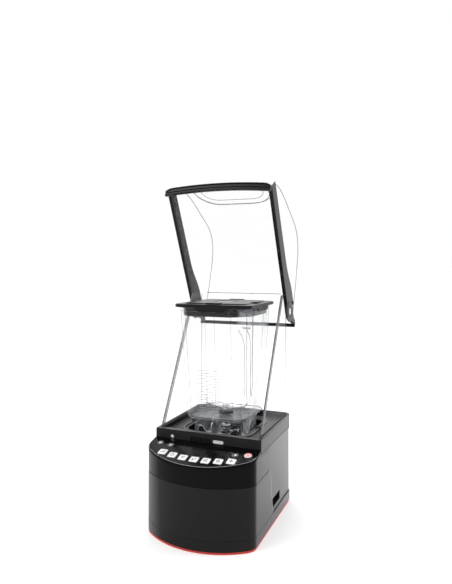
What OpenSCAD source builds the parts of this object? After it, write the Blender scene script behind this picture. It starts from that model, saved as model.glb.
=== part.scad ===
// Countertop blender with a lift-off motor unit, jar and sound enclosure.
// Millimetres, +Z up. The origin lies on the ground under the blade axis and the front faces -Y.

/* [Base] */
// Width of the base across its sides
base_w = 203; // [190:1:250]
// Distance from the blade axis to the rear wall
base_back = 100; // [98:1:130]
// Distance from the blade axis to the front corners
base_front = 124; // [115:1:155]
// How far the front bows out past its corners
front_bow = 40; // [20:1:50]
// Radius of the front corners in plan
corner_r = 25; // [12:1:30]
// Radius of the rear corners in plan
back_r = 14; // [6:1:18]
// Wall of the housings
wall = 3; // [2:0.1:4]
// Thickness of the silicone foot pad
pad_h = 4; // [2:0.5:6]
// Height of the floor tray
tray_h = 18; // [12:1:24]
// Thickness of the floor plate
floor_t = 4; // [2:0.5:6]
// Height of the glossy upper band at the sides
band_h = 41; // [30:1:50]
// Step of the rear housing inside the front cover
housing_step = 1.5; // [0:0.1:2]
// Height of the side grip slots
grip_h = 16; // [12:1:20]
// Length of the side grip slots
grip_l = 48; // [36:1:58]
// Height of the grip slots' lower edge above the ground
grip_z = 31; // [28:1:40]

/* [Control panel] */
// Rise of the panel's rear edge above the shoulders
panel_rise = 9; // [6:0.5:12]
// Forward tilt of the panel in degrees
panel_tilt = 12.8; // [8:0.2:14]
// Thickness of the panel
panel_t = 4; // [3:0.5:5]
// Width of a square key
key_w = 14.5; // [10:0.5:16]
// Spacing of the square keys along the row
key_pitch = 21.3; // [18:0.1:23]
// Distance of the middle key in front of the blade axis
key_row_y = 144; // [138:1:146]
// Radius of the arc that the row of keys follows
key_row_r = 230; // [180:5:400]
// Radius of the round keys
round_key_r = 6.5; // [5:0.5:7]
// Travel of every key
key_travel = 0.8; // [0.5:0.1:1.2]
// Gap around a key
key_gap = 0.4; // [0.3:0.05:0.6]
// Width of the display window
display_w = 60; // [40:1:64]
// Depth of the display window
display_d = 17; // [10:1:18]

/* [Deck] */
// Width of the raised deck
deck_w = 182; // [170:1:185]
// Distance from the blade axis to the deck's front edge
deck_front = 80; // [76:1:90]
// Distance from the blade axis to the deck's rear edge
deck_back = 90; // [80:1:90]
// Height of the deck above the shoulders
deck_h = 16; // [12:1:20]
// Depth of the motor pocket below the deck
pocket_depth = 33; // [30:1:38]
// Gap around the plate gasket in the pocket
pocket_gap = 1.25; // [0.6:0.05:2]
// Radius of the screw bosses at the middle of the pocket's sides
boss_r = 9; // [7:0.5:10]

/* [Motor unit] */
// Width of the chromed drive plate
plate_w = 112; // [106:1:118]
// Height of the drive plate
plate_h = 10; // [8:0.5:14]
// Corner radius of the drive plate
plate_r = 19; // [12:1:22]
// How far the red gasket stands out past the plate
gasket_lip = 2.5; // [1.5:0.1:3]
// Height of the red gasket
gasket_h = 8; // [6:0.5:9]
// Width across the plate's corner fins
fin_span = 80; // [74:1:84]
// Height of the corner fins
fin_h = 21; // [16:1:24]
// Radius of the drive ball
ball_r = 10; // [8:0.5:11]
// Height of the ball's centre above the plate
ball_h = 14; // [12:0.5:16]
// Width of the stator across X
stator_w = 74; // [70:1:76]
// Depth of the stator across Y
stator_d = 62; // [58:1:66]
// Height of the laminated stator
stator_h = 43; // [35:1:54]
// Radius of the stator's bore
stator_bore_r = 21.6; // [20:0.1:22]
// Air gap between armature and stator
air_gap = 0.6; // [0.4:0.1:1]
// Height of the aluminium bracket
bracket_h = 35; // [30:1:42]
// Height of the black lower motor housing
housing_h = 31; // [28:1:38]
// Height of the round end cap
cap_h = 26.5; // [24:0.5:32]
// Radius of the round end cap
cap_r = 29.5; // [28:0.5:31]
// Radius of the motor shaft
shaft_r = 4; // [3.5:0.1:4.5]
// Gap under the end cap
motor_gap = 2.5; // [1.5:0.5:5]

/* [Jar] */
// Width of the jar's skirt
skirt_w = 98; // [94:1:102]
// Height of the jar's skirt
skirt_h = 34; // [31:1:38]
// Wall of the skirt
skirt_t = 3.5; // [2.5:0.1:4]
// Width of the jar's body at its floor
jar_low_w = 119; // [112:1:122]
// Width of the jar at its rim
jar_top_w = 142; // [130:1:144]
// Height of the jar's body above its floor
jar_h = 205; // [170:1:208]
// Wall of the jar's body
jar_t = 3.5; // [2.5:0.1:4]
// Thickness of the jar's floor
jar_floor = 6; // [5:0.5:7]
// Distance from the axis to the flattened handle corner at the rim
corner_top = 76; // [70:1:78]
// Distance from the axis to the flattened handle corner at the floor
corner_low = 68; // [62:1:72]
// Distance from the axis to the outside of the handle
handle_reach = 107; // [100:0.5:107]
// Thickness of the handle's grip
grip_t = 11; // [9:0.5:12]
// Width of the handle's grip
handle_w = 14; // [10:0.5:15]
// Height of the handle's top arm
arm_h = 48; // [35:1:56]
// Length of the handle below the rim
handle_l = 156; // [130:1:170]

/* [Blade] */
// Span of the blade's wings
blade_span = 88; // [70:1:96]
// Rise of the wing tips above the blade
wing_rise = 23; // [15:1:28]
// Radius of the shaft's driven end
driven_r = 5; // [4:0.1:5.2]
// Radius of the retaining nut
nut_r = 12.5; // [11:0.5:14]
// Gap between every turning shaft and its bore
run_gap = 0.06; // [0.02:0.01:0.1]

/* [Lid] */
// Width of the lid's flange
lid_w = 152; // [146:1:154]
// Height of the lid's flange
lid_flange = 6; // [4:0.5:6]
// Depth of the lid's plug in the jar
plug_h = 17; // [12:1:24]
// Gap between plug and jar wall
plug_gap = 0.6; // [0.4:0.1:1.5]
// Width of the square insert
insert_w = 36; // [30:1:44]

/* [Sound enclosure] */
// Height of the lower frame with its gasket
frame_h = 25; // [20:1:30]
// Width of the frame's front bar
frame_bar = 9.5; // [8:0.5:12]
// Gap between deck and frame
frame_gap = 1.5; // [1:0.1:2.5]
// Thickness of the gasket under the frame
seal_t = 2; // [1:0.5:3]
// Height of the rear shell
shell_h = 249; // [249:1:300]
// Wall of the rear shell and the hood
clear_t = 3; // [2.5:0.1:3.5]
// Depth of the groove that holds the rear shell
groove = 8; // [6:0.5:10]
// Gap between a pressed-in part and its seat
seat_gap = 0.1; // [0.05:0.05:0.2]
// Side gap between rear shell and hood
hood_gap = 2; // [1.6:0.1:3]
// Distance of the hinge in front of the rear wall
pivot_in = 16; // [14:1:20]
// Distance of the hinge below the rear shell's top edge
pivot_down = 35; // [30:1:38]
// Radius of the hinge pins
pin_r = 4; // [3:0.5:5]
// Angle through which the hood opens
hood_open = 110; // [90:1:110]
// How far the hood's front bulges out past the frame
hood_bulge = 32; // [20:1:36]
// Height of the hood's roof above the rear shell
hood_rise = 9; // [8:0.5:14]
// Width of the hood's black gasket band
band_w = 7; // [5:0.5:9]

/* [Hidden] */
$fn = 64;

// Heights, from the ground up through the motor unit to the enclosure
floor_z = pad_h + floor_t;
tray_z = pad_h + tray_h;
cap_z = floor_z + motor_gap;
housing_z = cap_z + cap_h;
stator_z = housing_z + housing_h;
bracket_z = stator_z + stator_h;
plate_skin = 4;
plate_under = bracket_z + bracket_h;
plate_top = plate_under + plate_skin;
plate_z = plate_top - plate_h;
ledge_z = plate_z - gasket_h;
deck_z = ledge_z + pocket_depth;
shoulder_z = deck_z - deck_h;
band_z = shoulder_z - band_h;
seam_gap = 0.4;
jar_floor_z = plate_top + skirt_h;
jar_body_z = jar_floor_z + jar_floor;
rim_z = jar_body_z + jar_h;
frame_top = shoulder_z + frame_h;
shell_z = frame_top - groove;
shell_top = shell_z + shell_h;

// Plan of the base: the bow's radius and centre, and the corners' centres
bow_r = (base_w * base_w / 4 + front_bow * front_bow) / (2 * front_bow);
bow_y = bow_r - base_front - front_bow;
corner_x = base_w / 2 - corner_r;
corner_y = bow_y - sqrt(pow(bow_r - corner_r, 2) - pow(corner_x, 2));
corner_a = atan2(corner_y - bow_y, corner_x);

// Frame, rear shell and hood across X and Y
frame_in_x = deck_w / 2 + frame_gap;
frame_in_front = deck_front + frame_gap;
frame_front = frame_in_front + frame_bar;
frame_in_back = deck_back + frame_gap;
panel_back = frame_front + 1;
panel_z = shoulder_z + panel_rise;
shell_x = base_w / 2 - 4.5;
shell_back = base_back - 4;
hood_in_x = shell_x + hood_gap;
hood_out_x = hood_in_x + clear_t;
pivot_y = base_back - pivot_in;
pivot_z = shell_top - pivot_down;

// Side seam between the front cover and the rear housing, as Y at a height
seam_top_y = -49;
seam_lean = 0.2;
function seam_y(z) = seam_top_y + (shoulder_z - z) * seam_lean;

// Panel's upper face, as Z at a distance along Y
function panel_top(y) = panel_z + (y + panel_back) * tan(panel_tilt);

// Pocket of the deck and the lobed opening under it
pocket_w = plate_w + 2 * gasket_lip + 2 * pocket_gap;
pocket_r = plate_r + gasket_lip + pocket_gap;
lobe_w = plate_w - 7;
lobe_r = plate_r - 2;

armature_r = stator_bore_r - air_gap;
bearing_r = 9;
bolt_x = stator_w / 2 - 6;
bolt_y = stator_d / 2 - 6;
bolt_r = 2;
board_x = stator_w / 2 + 19;

// Round keys as [x, distance in front of the axis]
slower_at = [-82, 110];
faster_at = [-60, 113];
pulse_at = [64, 117];
stop_at = [85, 112];
display_at = [2, 118];

switch_x = 62;
switch_z = 66;
switch_w = 22;
switch_h = 15;
switch_lean = 7;
gland_x = -62;
gland_z = 52;
gland_r = 8;
cord_r = 4.1;

// Blade and its bearings on the jar's floor
nut_h = 8.5;
hub_bore_r = 9;
blade_z = jar_body_z + 8;
spindle_r = 4;
bearing_out_r = 8;

plug_z = rim_z - plug_h;
// How far the jar's plain corners are cut, as a share of its half-width along the diagonal
corner_cut = 1.26;

// ---- Outline helpers ----
function arc(cx, cy, r, a0, a1, n) =
  [for (i = [0:n]) [cx + r * cos(a0 + (a1 - a0) * i / n), cy + r * sin(a0 + (a1 - a0) * i / n)]];

function round_rect(w, d, r, n = 6) = concat(
  arc(w / 2 - r, d / 2 - r, r, 0, 90, n), arc(r - w / 2, d / 2 - r, r, 90, 180, n),
  arc(r - w / 2, r - d / 2, r, 180, 270, n), arc(w / 2 - r, r - d / 2, r, 270, 360, n));

function chamfer_rect(w, d, c) = [[w / 2, d / 2 - c], [w / 2 - c, d / 2], [c - w / 2, d / 2],
  [-w / 2, d / 2 - c], [-w / 2, c - d / 2], [c - w / 2, -d / 2], [w / 2 - c, -d / 2], [w / 2, c - d / 2]];

function base_plan(inset) = concat(
  arc(base_w / 2 - back_r, base_back - back_r, back_r - inset, 0, 90, 6),
  arc(back_r - base_w / 2, base_back - back_r, back_r - inset, 90, 180, 6),
  arc(-corner_x, corner_y, corner_r - inset, 180, 180 - corner_a, 8),
  arc(0, bow_y, bow_r - inset, 180 - corner_a, 360 + corner_a, 28),
  arc(corner_x, corner_y, corner_r - inset, 360 + corner_a, 360, 8));

function spline_at(a, b, c, d, t) = 0.5 * (2 * b + (c - a) * t
  + (2 * a - 5 * b + 4 * c - d) * t * t + (3 * b - a - 3 * c + d) * t * t * t);

function spline(p, n) = concat([for (i = [0:len(p) - 2]) for (k = [0:n - 1])
  spline_at(p[max(i - 1, 0)], p[i], p[i + 1], p[min(i + 2, len(p) - 1)], k / n)], [p[len(p) - 1]]);

// Moves each point of an open path to its right by d
function shift_right(p, d) = [for (i = [0:len(p) - 1])
  let(t = p[min(i + 1, len(p) - 1)] - p[max(i - 1, 0)]) p[i] + d * [t[1], -t[0]] / norm(t)];

function reversed(p) = [for (i = [len(p) - 1:-1:0]) p[i]];

module prism(points, z0, z1) translate([0, 0, z0]) linear_extrude(z1 - z0) polygon(points);

// Extrudes a (Y, Z) outline along X from x0 to x1
module along_x(points, x0, x1) {
  translate([x0, 0, 0]) rotate([90, 0, 90]) linear_extrude(x1 - x0) polygon(points);
}

// Extrudes an (X, Z) outline along Y from y0 to y1
module along_y(points, y0, y1) {
  translate([0, y1, 0]) rotate([90, 0, 0]) linear_extrude(y1 - y0) polygon(points);
}

module block(x0, y0, z0, x1, y1, z1) translate([x0, y0, z0]) cube([x1 - x0, y1 - y0, z1 - z0]);

module rod(x, y, z0, z1, r) translate([x, y, z0]) cylinder(r = r, h = z1 - z0);

module rod_x(x0, x1, y, z, r) translate([x0, y, z]) rotate([0, 90, 0]) cylinder(r = r, h = x1 - x0);

module rod_y(x, y0, y1, z, r) translate([x, y0, z]) rotate([-90, 0, 0]) cylinder(r = r, h = y1 - y0);

module mirrored_x() {
  children();
  mirror([1, 0, 0]) children();
}

module base_walls(z0, z1, inset) {
  difference() {
    prism(base_plan(inset), z0, z1);
    prism(base_plan(inset + wall), z0 - 1, z1 + 1);
  }
}

// Space in front of the side seam, shifted along Y
module ahead_of_seam(shift) {
  along_x([[shift - 400, 0], [seam_y(0) + shift, 0], [seam_y(shoulder_z) + shift, shoulder_z],
    [seam_y(shoulder_z + 60) + shift, shoulder_z + 60], [shift - 400, shoulder_z + 60]], -base_w, base_w);
}

// ---- Base ----
module foot_pad() {
  color([0.85, 0.24, 0.18])
  difference() {
    prism(base_plan(1), 0, pad_h);
    for (p = screw_spots) rod(p[0], p[1], 1, pad_h + 1, 5);
  }
}

screw_spots = [[-80, 75], [80, 75], [-72, -100], [72, -100]];

module floor_tray() {
  color([0.08, 0.08, 0.085])
  difference() {
    union() {
      prism(base_plan(0), pad_h, floor_z);
      base_walls(pad_h, tray_z, 0);
      for (p = screw_spots) rod(p[0], p[1], pad_h, tray_z, 6);
    }
    for (p = screw_spots) {
      rod(p[0], p[1], pad_h - 1, tray_z + 1, 2);
      rod(p[0], p[1], pad_h - 1, pad_h + 2.6, 4);
    }
    for (i = [-3:3]) block(-14, i * 7 - 1.5, pad_h - 1, 14, i * 7 + 1.5, floor_z + 1);
  }
}

module base_screws() {
  color([0.5, 0.5, 0.52])
  for (p = screw_spots) {
    rod(p[0], p[1], pad_h + 2.6, tray_z - 2, 2);
    rod(p[0], p[1], pad_h, pad_h + 2.6, 3.8);
  }
}

module front_cover() {
  color([0.13, 0.125, 0.125])
  intersection() {
    base_walls(tray_z, band_z - seam_gap, 0);
    ahead_of_seam(0);
  }
}

module upper_band() {
  color([0.05, 0.05, 0.055])
  difference() {
    intersection() {
      base_walls(band_z, panel_z + 20, 0);
      ahead_of_seam(0);
    }
    block(-base_w, -panel_back, shoulder_z - wall, base_w, base_back, panel_z + 30);
    along_x([[-panel_back + 1, panel_top(1 - panel_back) - panel_t], [-panel_back + 1, panel_z + 40],
      [-300, panel_z + 40], [-300, panel_top(-300) - panel_t]], -base_w, base_w);
  }
}

module rear_housing() {
  color([0.11, 0.11, 0.115])
  difference() {
    base_walls(tray_z, shoulder_z - wall, housing_step);
    ahead_of_seam(seam_gap);
    mirrored_x()
      block(base_w / 2 - 10, -grip_l / 2, grip_z, base_w / 2 + 1, grip_l / 2, grip_z + grip_h);
    for (i = [-5:5]) block(i * 8 - 2, base_back - 10, 84, i * 8 + 2, base_back + 1, 118);
    rod_y(gland_x, base_back - 10, base_back + 1, gland_z, gland_r);
    block(switch_x - switch_w / 2, base_back - 10, switch_z - switch_h / 2,
      switch_x + switch_w / 2, base_back + 1, switch_z + switch_h / 2);
  }
}

module shoulder_plate() {
  color([0.11, 0.11, 0.115])
  intersection() {
    difference() {
      prism(base_plan(0), shoulder_z - wall, shoulder_z);
      block(wall - deck_w / 2, -deck_front - wall, 0, deck_w / 2 - wall, deck_back - wall, deck_z);
    }
    block(-base_w, -panel_back, 0, base_w, base_back + 1, shoulder_z + 1);
  }
}

module grip_cups() {
  inner = base_w / 2 - housing_step - wall;
  color([0.03, 0.03, 0.03])
  mirrored_x() difference() {
    block(inner - 16, -grip_l / 2 - 2, grip_z - 2, inner, grip_l / 2 + 2, grip_z + grip_h + 2);
    block(inner - 14, -grip_l / 2, grip_z, inner + 1, grip_l / 2, grip_z + grip_h);
  }
}

module cord_gland() {
  back = base_back - housing_step;
  color([0.06, 0.06, 0.06])
  difference() {
    union() {
      rod_y(gland_x, back - wall - 6, back, gland_z, gland_r - seat_gap);
      rod_y(gland_x, back - wall - 6, back - wall, gland_z, gland_r + 2);
      rod_y(gland_x, back, base_back, gland_z, gland_r + 1.5);
    }
    rod_y(gland_x, back - wall - 7, base_back + 1, gland_z, cord_r);
  }
}

module switch_bezel() {
  back = base_back - housing_step;
  color([0.07, 0.07, 0.07])
  difference() {
    union() {
      block(switch_x - switch_w / 2 + seat_gap, back - 12, switch_z - switch_h / 2 + seat_gap,
        switch_x + switch_w / 2 - seat_gap, back, switch_z + switch_h / 2 - seat_gap);
      block(switch_x - switch_w / 2 - 2, back, switch_z - switch_h / 2 - 2,
        switch_x + switch_w / 2 + 2, back + 1.4, switch_z + switch_h / 2 + 2);
    }
    block(switch_x - switch_w / 2 + 2, back - 10, switch_z - switch_h / 2 + 2,
      switch_x + switch_w / 2 - 2, back + 3, switch_z + switch_h / 2 - 2);
  }
}

module switch_rocker() {
  pivot = base_back - housing_step - 4;
  half = switch_h / 2 - 3;
  color([0.1, 0.1, 0.1])
  translate([switch_x, pivot, switch_z]) rotate([-switch_lean, 0, 0]) {
    along_x([[-3, -half + 1], [-3, half - 1], [3, half - 0.5], [1.8, 0], [3, 0.5 - half]],
      2.6 - switch_w / 2, switch_w / 2 - 2.6);
    rod_x(2.1 - switch_w / 2, switch_w / 2 - 2.1, 0, 0, 1.6);
  }
}

module deck() {
  color([0.2, 0.2, 0.21])
  difference() {
    union() {
      difference() {
        block(-deck_w / 2, -deck_front, shoulder_z, deck_w / 2, deck_back, deck_z);
        block(wall - deck_w / 2, wall - deck_front, shoulder_z - 1,
          deck_w / 2 - wall, deck_back - wall, deck_z - wall);
      }
      prism(round_rect(pocket_w + 2 * wall, pocket_w + 2 * wall, pocket_r + wall), ledge_z - wall, deck_z);
      prism(round_rect(pocket_w + 19, pocket_w + 19, pocket_r + 8), deck_z - 1, deck_z + 1.5);
    }
    prism(round_rect(pocket_w, pocket_w, pocket_r), ledge_z, deck_z + 5);
    prism(round_rect(pocket_w + 12, pocket_w + 12, pocket_r + 5), deck_z + 0.5, deck_z + 5);
    difference() {
      prism(round_rect(lobe_w, lobe_w, lobe_r), ledge_z - wall - 1, ledge_z + 1);
      for (a = [0:90:270]) rotate([0, 0, a]) rod(lobe_w / 2, 0, ledge_z - wall - 2, ledge_z + 2, boss_r);
    }
    for (a = [0:90:270]) rotate([0, 0, a]) rod(lobe_w / 2 - 2, 0, ledge_z - wall - 1, ledge_z + 1, 2.5);
  }
}

// Lugs as [front, back] along Y, with their depth and height
lug_spots = [[-74, -60], [-52, -38]];
lug_d = 6;
lug_h = 11;
module lug_row(grow) {
  mirrored_x() for (s = lug_spots)
    block(deck_w / 2, s[0] - grow, shoulder_z - grow,
      deck_w / 2 + lug_d + grow, s[1] + grow, shoulder_z + lug_h + grow);
}

module enclosure_lugs() {
  color([0.06, 0.06, 0.065]) lug_row(0);
}

module air_duct() {
  color([0.09, 0.09, 0.09])
  difference() {
    rod(0, 0, floor_z, housing_z - 2, cap_r + 7);
    rod(0, 0, floor_z - 1, housing_z, cap_r + 4);
  }
}

module circuit_boards() {
  color([0.1, 0.42, 0.2]) {
    block(-board_x - 1.6, -46, floor_z, -board_x, 38, ledge_z - 14);
    for (i = [0:2]) rod_x(-board_x - 14, -board_x - 1.6, i * 24 - 24, 52, 7);
    block(-board_x - 12, -30, 78, -board_x - 1.6, 10, 96);
    intersection() {
      on_panel(0, 128) block(-base_w, -base_front, -panel_t - 6, base_w, 26, -panel_t - 4.4);
      prism(base_plan(wall + 1), 0, panel_z);
    }
  }
}

module earth_lead() {
  color([0.55, 0.82, 0.66])
  translate([-board_x + 6, -42, 0]) {
    rod(0, 0, floor_z, ledge_z - 22, 2);
    translate([9, 0, ledge_z - 22]) rotate([90, 0, 0])
      rotate_extrude(angle = 70) translate([-9, 0]) circle(r = 2);
  }
}

// ---- Control panel ----
// Frame on the panel's upper face: X across, Y along the slope, Z out of the face
module on_panel(x, ahead) {
  translate([x, -ahead, panel_top(-ahead)]) rotate([panel_tilt, 0, 0]) children();
}

function key_ahead(x) = key_row_y - key_row_r + sqrt(key_row_r * key_row_r - x * x);
key_xs = [for (i = [-3:3]) i * key_pitch];
round_spots = [slower_at, faster_at, pulse_at, stop_at];

module control_panel() {
  color([0.035, 0.035, 0.04])
  difference() {
    intersection() {
      prism(base_plan(0), band_z, panel_z + 5);
      along_x([[-panel_back, panel_z], [-panel_back, panel_z - panel_t],
        [-300, panel_top(-300) - panel_t], [-300, panel_top(-300)]], -base_w, base_w);
    }
    for (x = key_xs) on_panel(x, key_ahead(x))
      prism(round_rect(key_w + 2 * key_gap, key_w + 2 * key_gap, 1.5 + key_gap, 3), -panel_t - 2, 2);
    for (p = round_spots) on_panel(p[0], p[1]) rod(0, 0, -panel_t - 2, 2, round_key_r + key_gap);
    on_panel(display_at[0], display_at[1]) prism(round_rect(display_w, display_d, 1.5, 3), -1.2, 2);
  }
}

module display_window() {
  color([0.01, 0.01, 0.012])
  on_panel(display_at[0], display_at[1])
    prism(round_rect(display_w - 2 * seat_gap, display_d - 2 * seat_gap, 1.4, 3), -1.2, -0.1);
}

module square_key(i) {
  color([0.93, 0.93, 0.93])
  on_panel(key_xs[i], key_ahead(key_xs[i]))
    prism(round_rect(key_w, key_w, 1.5, 3), -panel_t, key_travel);
}

module round_key(p, tone) {
  color(tone) on_panel(p[0], p[1]) rod(0, 0, -panel_t, key_travel, round_key_r);
}

module key_1() square_key(0);
module key_2() square_key(1);
module key_3() square_key(2);
module key_4() square_key(3);
module key_5() square_key(4);
module key_6() square_key(5);
module key_7() square_key(6);
module key_slower() round_key(slower_at, [0.1, 0.1, 0.1]);
module key_faster() round_key(faster_at, [0.1, 0.1, 0.1]);
module key_pulse() round_key(pulse_at, [0.1, 0.1, 0.1]);
module key_stop() round_key(stop_at, [0.8, 0.2, 0.18]);

// ---- Motor unit ----
module plate_gasket() {
  w = plate_w + 2 * gasket_lip;
  color([0.88, 0.3, 0.25])
  difference() {
    prism(round_rect(w, w, plate_r + gasket_lip), ledge_z, plate_z);
    prism(round_rect(lobe_w - 4, lobe_w - 4, lobe_r), ledge_z - 1, plate_z + 1);
  }
}

module corner_fin() {
  h = fin_span / 2;
  t = 3;
  face = [[h, plate_top], [h, plate_top + fin_h - 3], [h - 3, plate_top + fin_h], [h - 9, plate_top + fin_h],
    [h - 26, plate_top]];
  along_y(face, h - t, h);
  mirror([1, -1, 0]) along_y(face, h - t, h);
}

module drive_plate() {
  hollow = plate_w - 8;
  color([0.8, 0.81, 0.83])
  difference() {
    union() {
      prism(round_rect(plate_w, plate_w, plate_r), plate_z, plate_top);
      rod(0, 0, plate_top - 1, plate_top + 2, ball_r + 6);
      for (a = [0:90:270]) rotate([0, 0, a]) corner_fin();
    }
    prism(round_rect(hollow, hollow, plate_r - 4), plate_z - 1, plate_under);
    rod(0, 0, plate_z, plate_top + 5, ball_r + 1.5);
  }
}

module motor_bracket() {
  w = stator_w + 2;
  d = stator_d + 2;
  bridge_z = bracket_z + 11;
  color([0.72, 0.72, 0.72])
  difference() {
    prism(chamfer_rect(w, d, 7), bracket_z, plate_under);
    difference() {
      union() {
        block(-w / 2 + 5, -d / 2 + 9, bracket_z - 1, w / 2 - 5, d / 2 - 9, plate_under + 1);
        block(-w / 2 + 12, -d / 2 + 5, bracket_z - 1, w / 2 - 12, d / 2 - 5, plate_under + 1);
      }
      block(-w, -12, bridge_z, w, 12, bridge_z + 7);
    }
    rod(0, 0, bridge_z - 1, plate_under, bearing_r);
    for (y = [-15, 15]) block(-w, y - 6, bracket_z + 20, w, y + 6, plate_under - 5);
    for (x = [-16, 0, 16]) block(x - 5, -d, bracket_z + 20, x + 5, d, plate_under - 5);
    for (x = [-1, 1]) for (y = [-1, 1])
      rod(x * bolt_x, y * bolt_y, bracket_z - 1, bracket_z + 14, bolt_r + seat_gap);
  }
}

module stator_core() {
  color([0.42, 0.4, 0.38])
  difference() {
    prism(chamfer_rect(stator_w, stator_d, 6), stator_z, bracket_z);
    rod(0, 0, stator_z - 1, bracket_z + 1, stator_bore_r);
    for (x = [-1, 1]) for (y = [-1, 1]) {
      rod(x * bolt_x, y * bolt_y, stator_z - 1, bracket_z + 1, bolt_r + seat_gap);
      block(x * 21 - 3.5 - seat_gap, y * 19 - 3.5 - seat_gap, stator_z - 1,
        x * 21 + 3.5 + seat_gap, y * 19 + 3.5 + seat_gap, bracket_z + 1);
    }
  }
}

module field_coils() {
  color([0.72, 0.36, 0.16])
  for (y = [-19, 19]) difference() {
    block(-24.5, y - 3.5, stator_z - 5, 24.5, y + 3.5, bracket_z + 6);
    block(-17.5, y - 5, stator_z, 17.5, y + 5, bracket_z);
  }
}

module motor_housing() {
  bearing_seat = housing_z + 7;
  half_w = stator_w / 2;
  half_d = stator_d / 2;
  color([0.07, 0.07, 0.07])
  difference() {
    union() {
      prism(chamfer_rect(stator_w + 2, stator_d + 2, 7), housing_z + 8, stator_z);
      prism(chamfer_rect(stator_w - 6, stator_d - 6, 12), housing_z, housing_z + 8);
      for (x = [-14, -5, 5, 14])
        block(x - 1.5, -half_d - 3, housing_z + 8, x + 1.5, half_d + 3, stator_z - 8);
    }
    block(3 - half_w, 9 - half_d, bearing_seat, half_w - 3, half_d - 9, stator_z + 1);
    block(10 - half_w, 3 - half_d, bearing_seat, half_w - 10, half_d - 3, stator_z + 1);
    rod(0, 0, housing_z - 1, bearing_seat + 1, bearing_r);
    for (a = [30:60:330]) rotate([0, 0, a]) rod(17, 0, housing_z - 1, bearing_seat + 1, 4);
    for (x = [-1, 1]) for (y = [-1, 1]) {
      rod(x * bolt_x, y * bolt_y, housing_z - 1, stator_z + 1, bolt_r + seat_gap);
      rod(x * bolt_x, y * bolt_y, housing_z - 1, housing_z + 12, 3.6);
    }
    for (x = [-1, 1]) translate([x * (stator_w / 2 - 4), 0, 0])
      block(-6, -4.5, housing_z + 12, 6, 4.5, housing_z + 21);
  }
}

module end_cap() {
  color([0.05, 0.05, 0.05])
  difference() {
    union() {
      rod(0, 0, cap_z, housing_z, cap_r - 1);
      for (a = [0:15:345]) rotate([0, 0, a]) block(cap_r - 2, -1.2, cap_z + 2, cap_r, 1.2, housing_z - 5);
    }
    rod(0, 0, cap_z + 2, housing_z + 1, cap_r - 3);
    for (a = [0:30:330]) rotate([0, 0, a]) block(10, -1.5, cap_z - 1, cap_r - 5, 1.5, cap_z + 3);
    rod(0, 0, cap_z - 1, cap_z + 3, 6);
  }
}

module brass_contacts() {
  x = stator_w / 2 + 1;
  color([0.8, 0.62, 0.28]) {
    mirrored_x() block(12.6, -4.4, housing_z + 12.1, stator_w / 2 + 1.5, 4.4, housing_z + 20.9);
    block(x, -26, housing_z + 14, x + 3, -14, stator_z - 3);
    for (y = [-23, -17]) rod_x(x + 3, x + 5, y, stator_z - 8, 1.8);
  }
}

module through_bolts() {
  color([0.55, 0.56, 0.58])
  for (x = [-1, 1]) for (y = [-1, 1]) {
    rod(x * bolt_x, y * bolt_y, housing_z + 12, bracket_z + 12, bolt_r);
    rod(x * bolt_x, y * bolt_y, housing_z + 9, housing_z + 12, 3.4);
  }
}

module motor_bearings() {
  color([0.6, 0.6, 0.62])
  for (z = [housing_z, bracket_z + 11]) difference() {
    rod(0, 0, z, z + 7, bearing_r);
    rod(0, 0, z - 1, z + 8, shaft_r + run_gap);
  }
}

// ---- Rotor ----
ball_z = plate_top + ball_h;
module rotor_shaft() {
  color([0.7, 0.7, 0.72]) rod(0, 0, cap_z + 3, ball_z - 5, shaft_r);
}

module armature_core() {
  color([0.35, 0.33, 0.31])
  difference() {
    union() {
      rod(0, 0, stator_z + 2, bracket_z - 2, armature_r);
      rod(0, 0, stator_z - 5, bracket_z + 3, armature_r - 6);
    }
    rod(0, 0, stator_z - 6, bracket_z + 4, shaft_r);
    for (a = [0:30:330])
      rotate([0, 0, a]) block(armature_r - 5, -1, stator_z + 1, armature_r + 1, 1, bracket_z - 1);
  }
}

module commutator() {
  color([0.75, 0.4, 0.2])
  difference() {
    rod(0, 0, housing_z + 9, stator_z - 7, 12);
    rod(0, 0, housing_z + 8, stator_z - 6, shaft_r);
    for (a = [0:30:330]) rotate([0, 0, a]) block(10.5, -0.4, housing_z + 8, 13, 0.4, stator_z - 6);
  }
}

module cooling_fan() {
  color([0.15, 0.15, 0.15])
  difference() {
    union() {
      rod(0, 0, cap_z + 5, cap_z + 7, cap_r - 5);
      rod(0, 0, cap_z + 5, cap_z + 20, 7);
      for (a = [0:40:320]) rotate([0, 0, a]) block(6, -1, cap_z + 5, cap_r - 5.5, 1, cap_z + 19);
    }
    rod(0, 0, cap_z, housing_z, shaft_r);
  }
}

module drive_ball() {
  color([0.78, 0.79, 0.8])
  difference() {
    union() {
      translate([0, 0, ball_z]) sphere(r = ball_r);
      rod(0, 0, plate_top - 2, ball_z, 6.5);
    }
    rod(0, 0, plate_top - 3, ball_z - 5, shaft_r);
    rod(0, 0, ball_z - 3, ball_z + ball_r + 1, driven_r + run_gap);
  }
}

// ---- Jar ----
// Square tower with flattened corners. A section is [height, half-width, distance of the +X -Y corner]
module jar_form(sections) {
  far = 2 * jar_top_w;
  sides = concat([for (s = sections) [s[1], s[0]]], reversed([for (s = sections) [-s[1], s[0]]]));
  handle_diagonal = concat([for (s = sections) [s[2], s[0]]],
    reversed([for (s = sections) [-s[1] * corner_cut, s[0]]]));
  other_diagonal = concat([for (s = sections) [s[1] * corner_cut, s[0]]],
    reversed([for (s = sections) [-s[1] * corner_cut, s[0]]]));
  intersection() {
    along_y(sides, -far, far);
    along_x(sides, -far, far);
    rotate([0, 0, -45]) along_y(handle_diagonal, -far, far);
    rotate([0, 0, 45]) along_y(other_diagonal, -far, far);
  }
}

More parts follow.
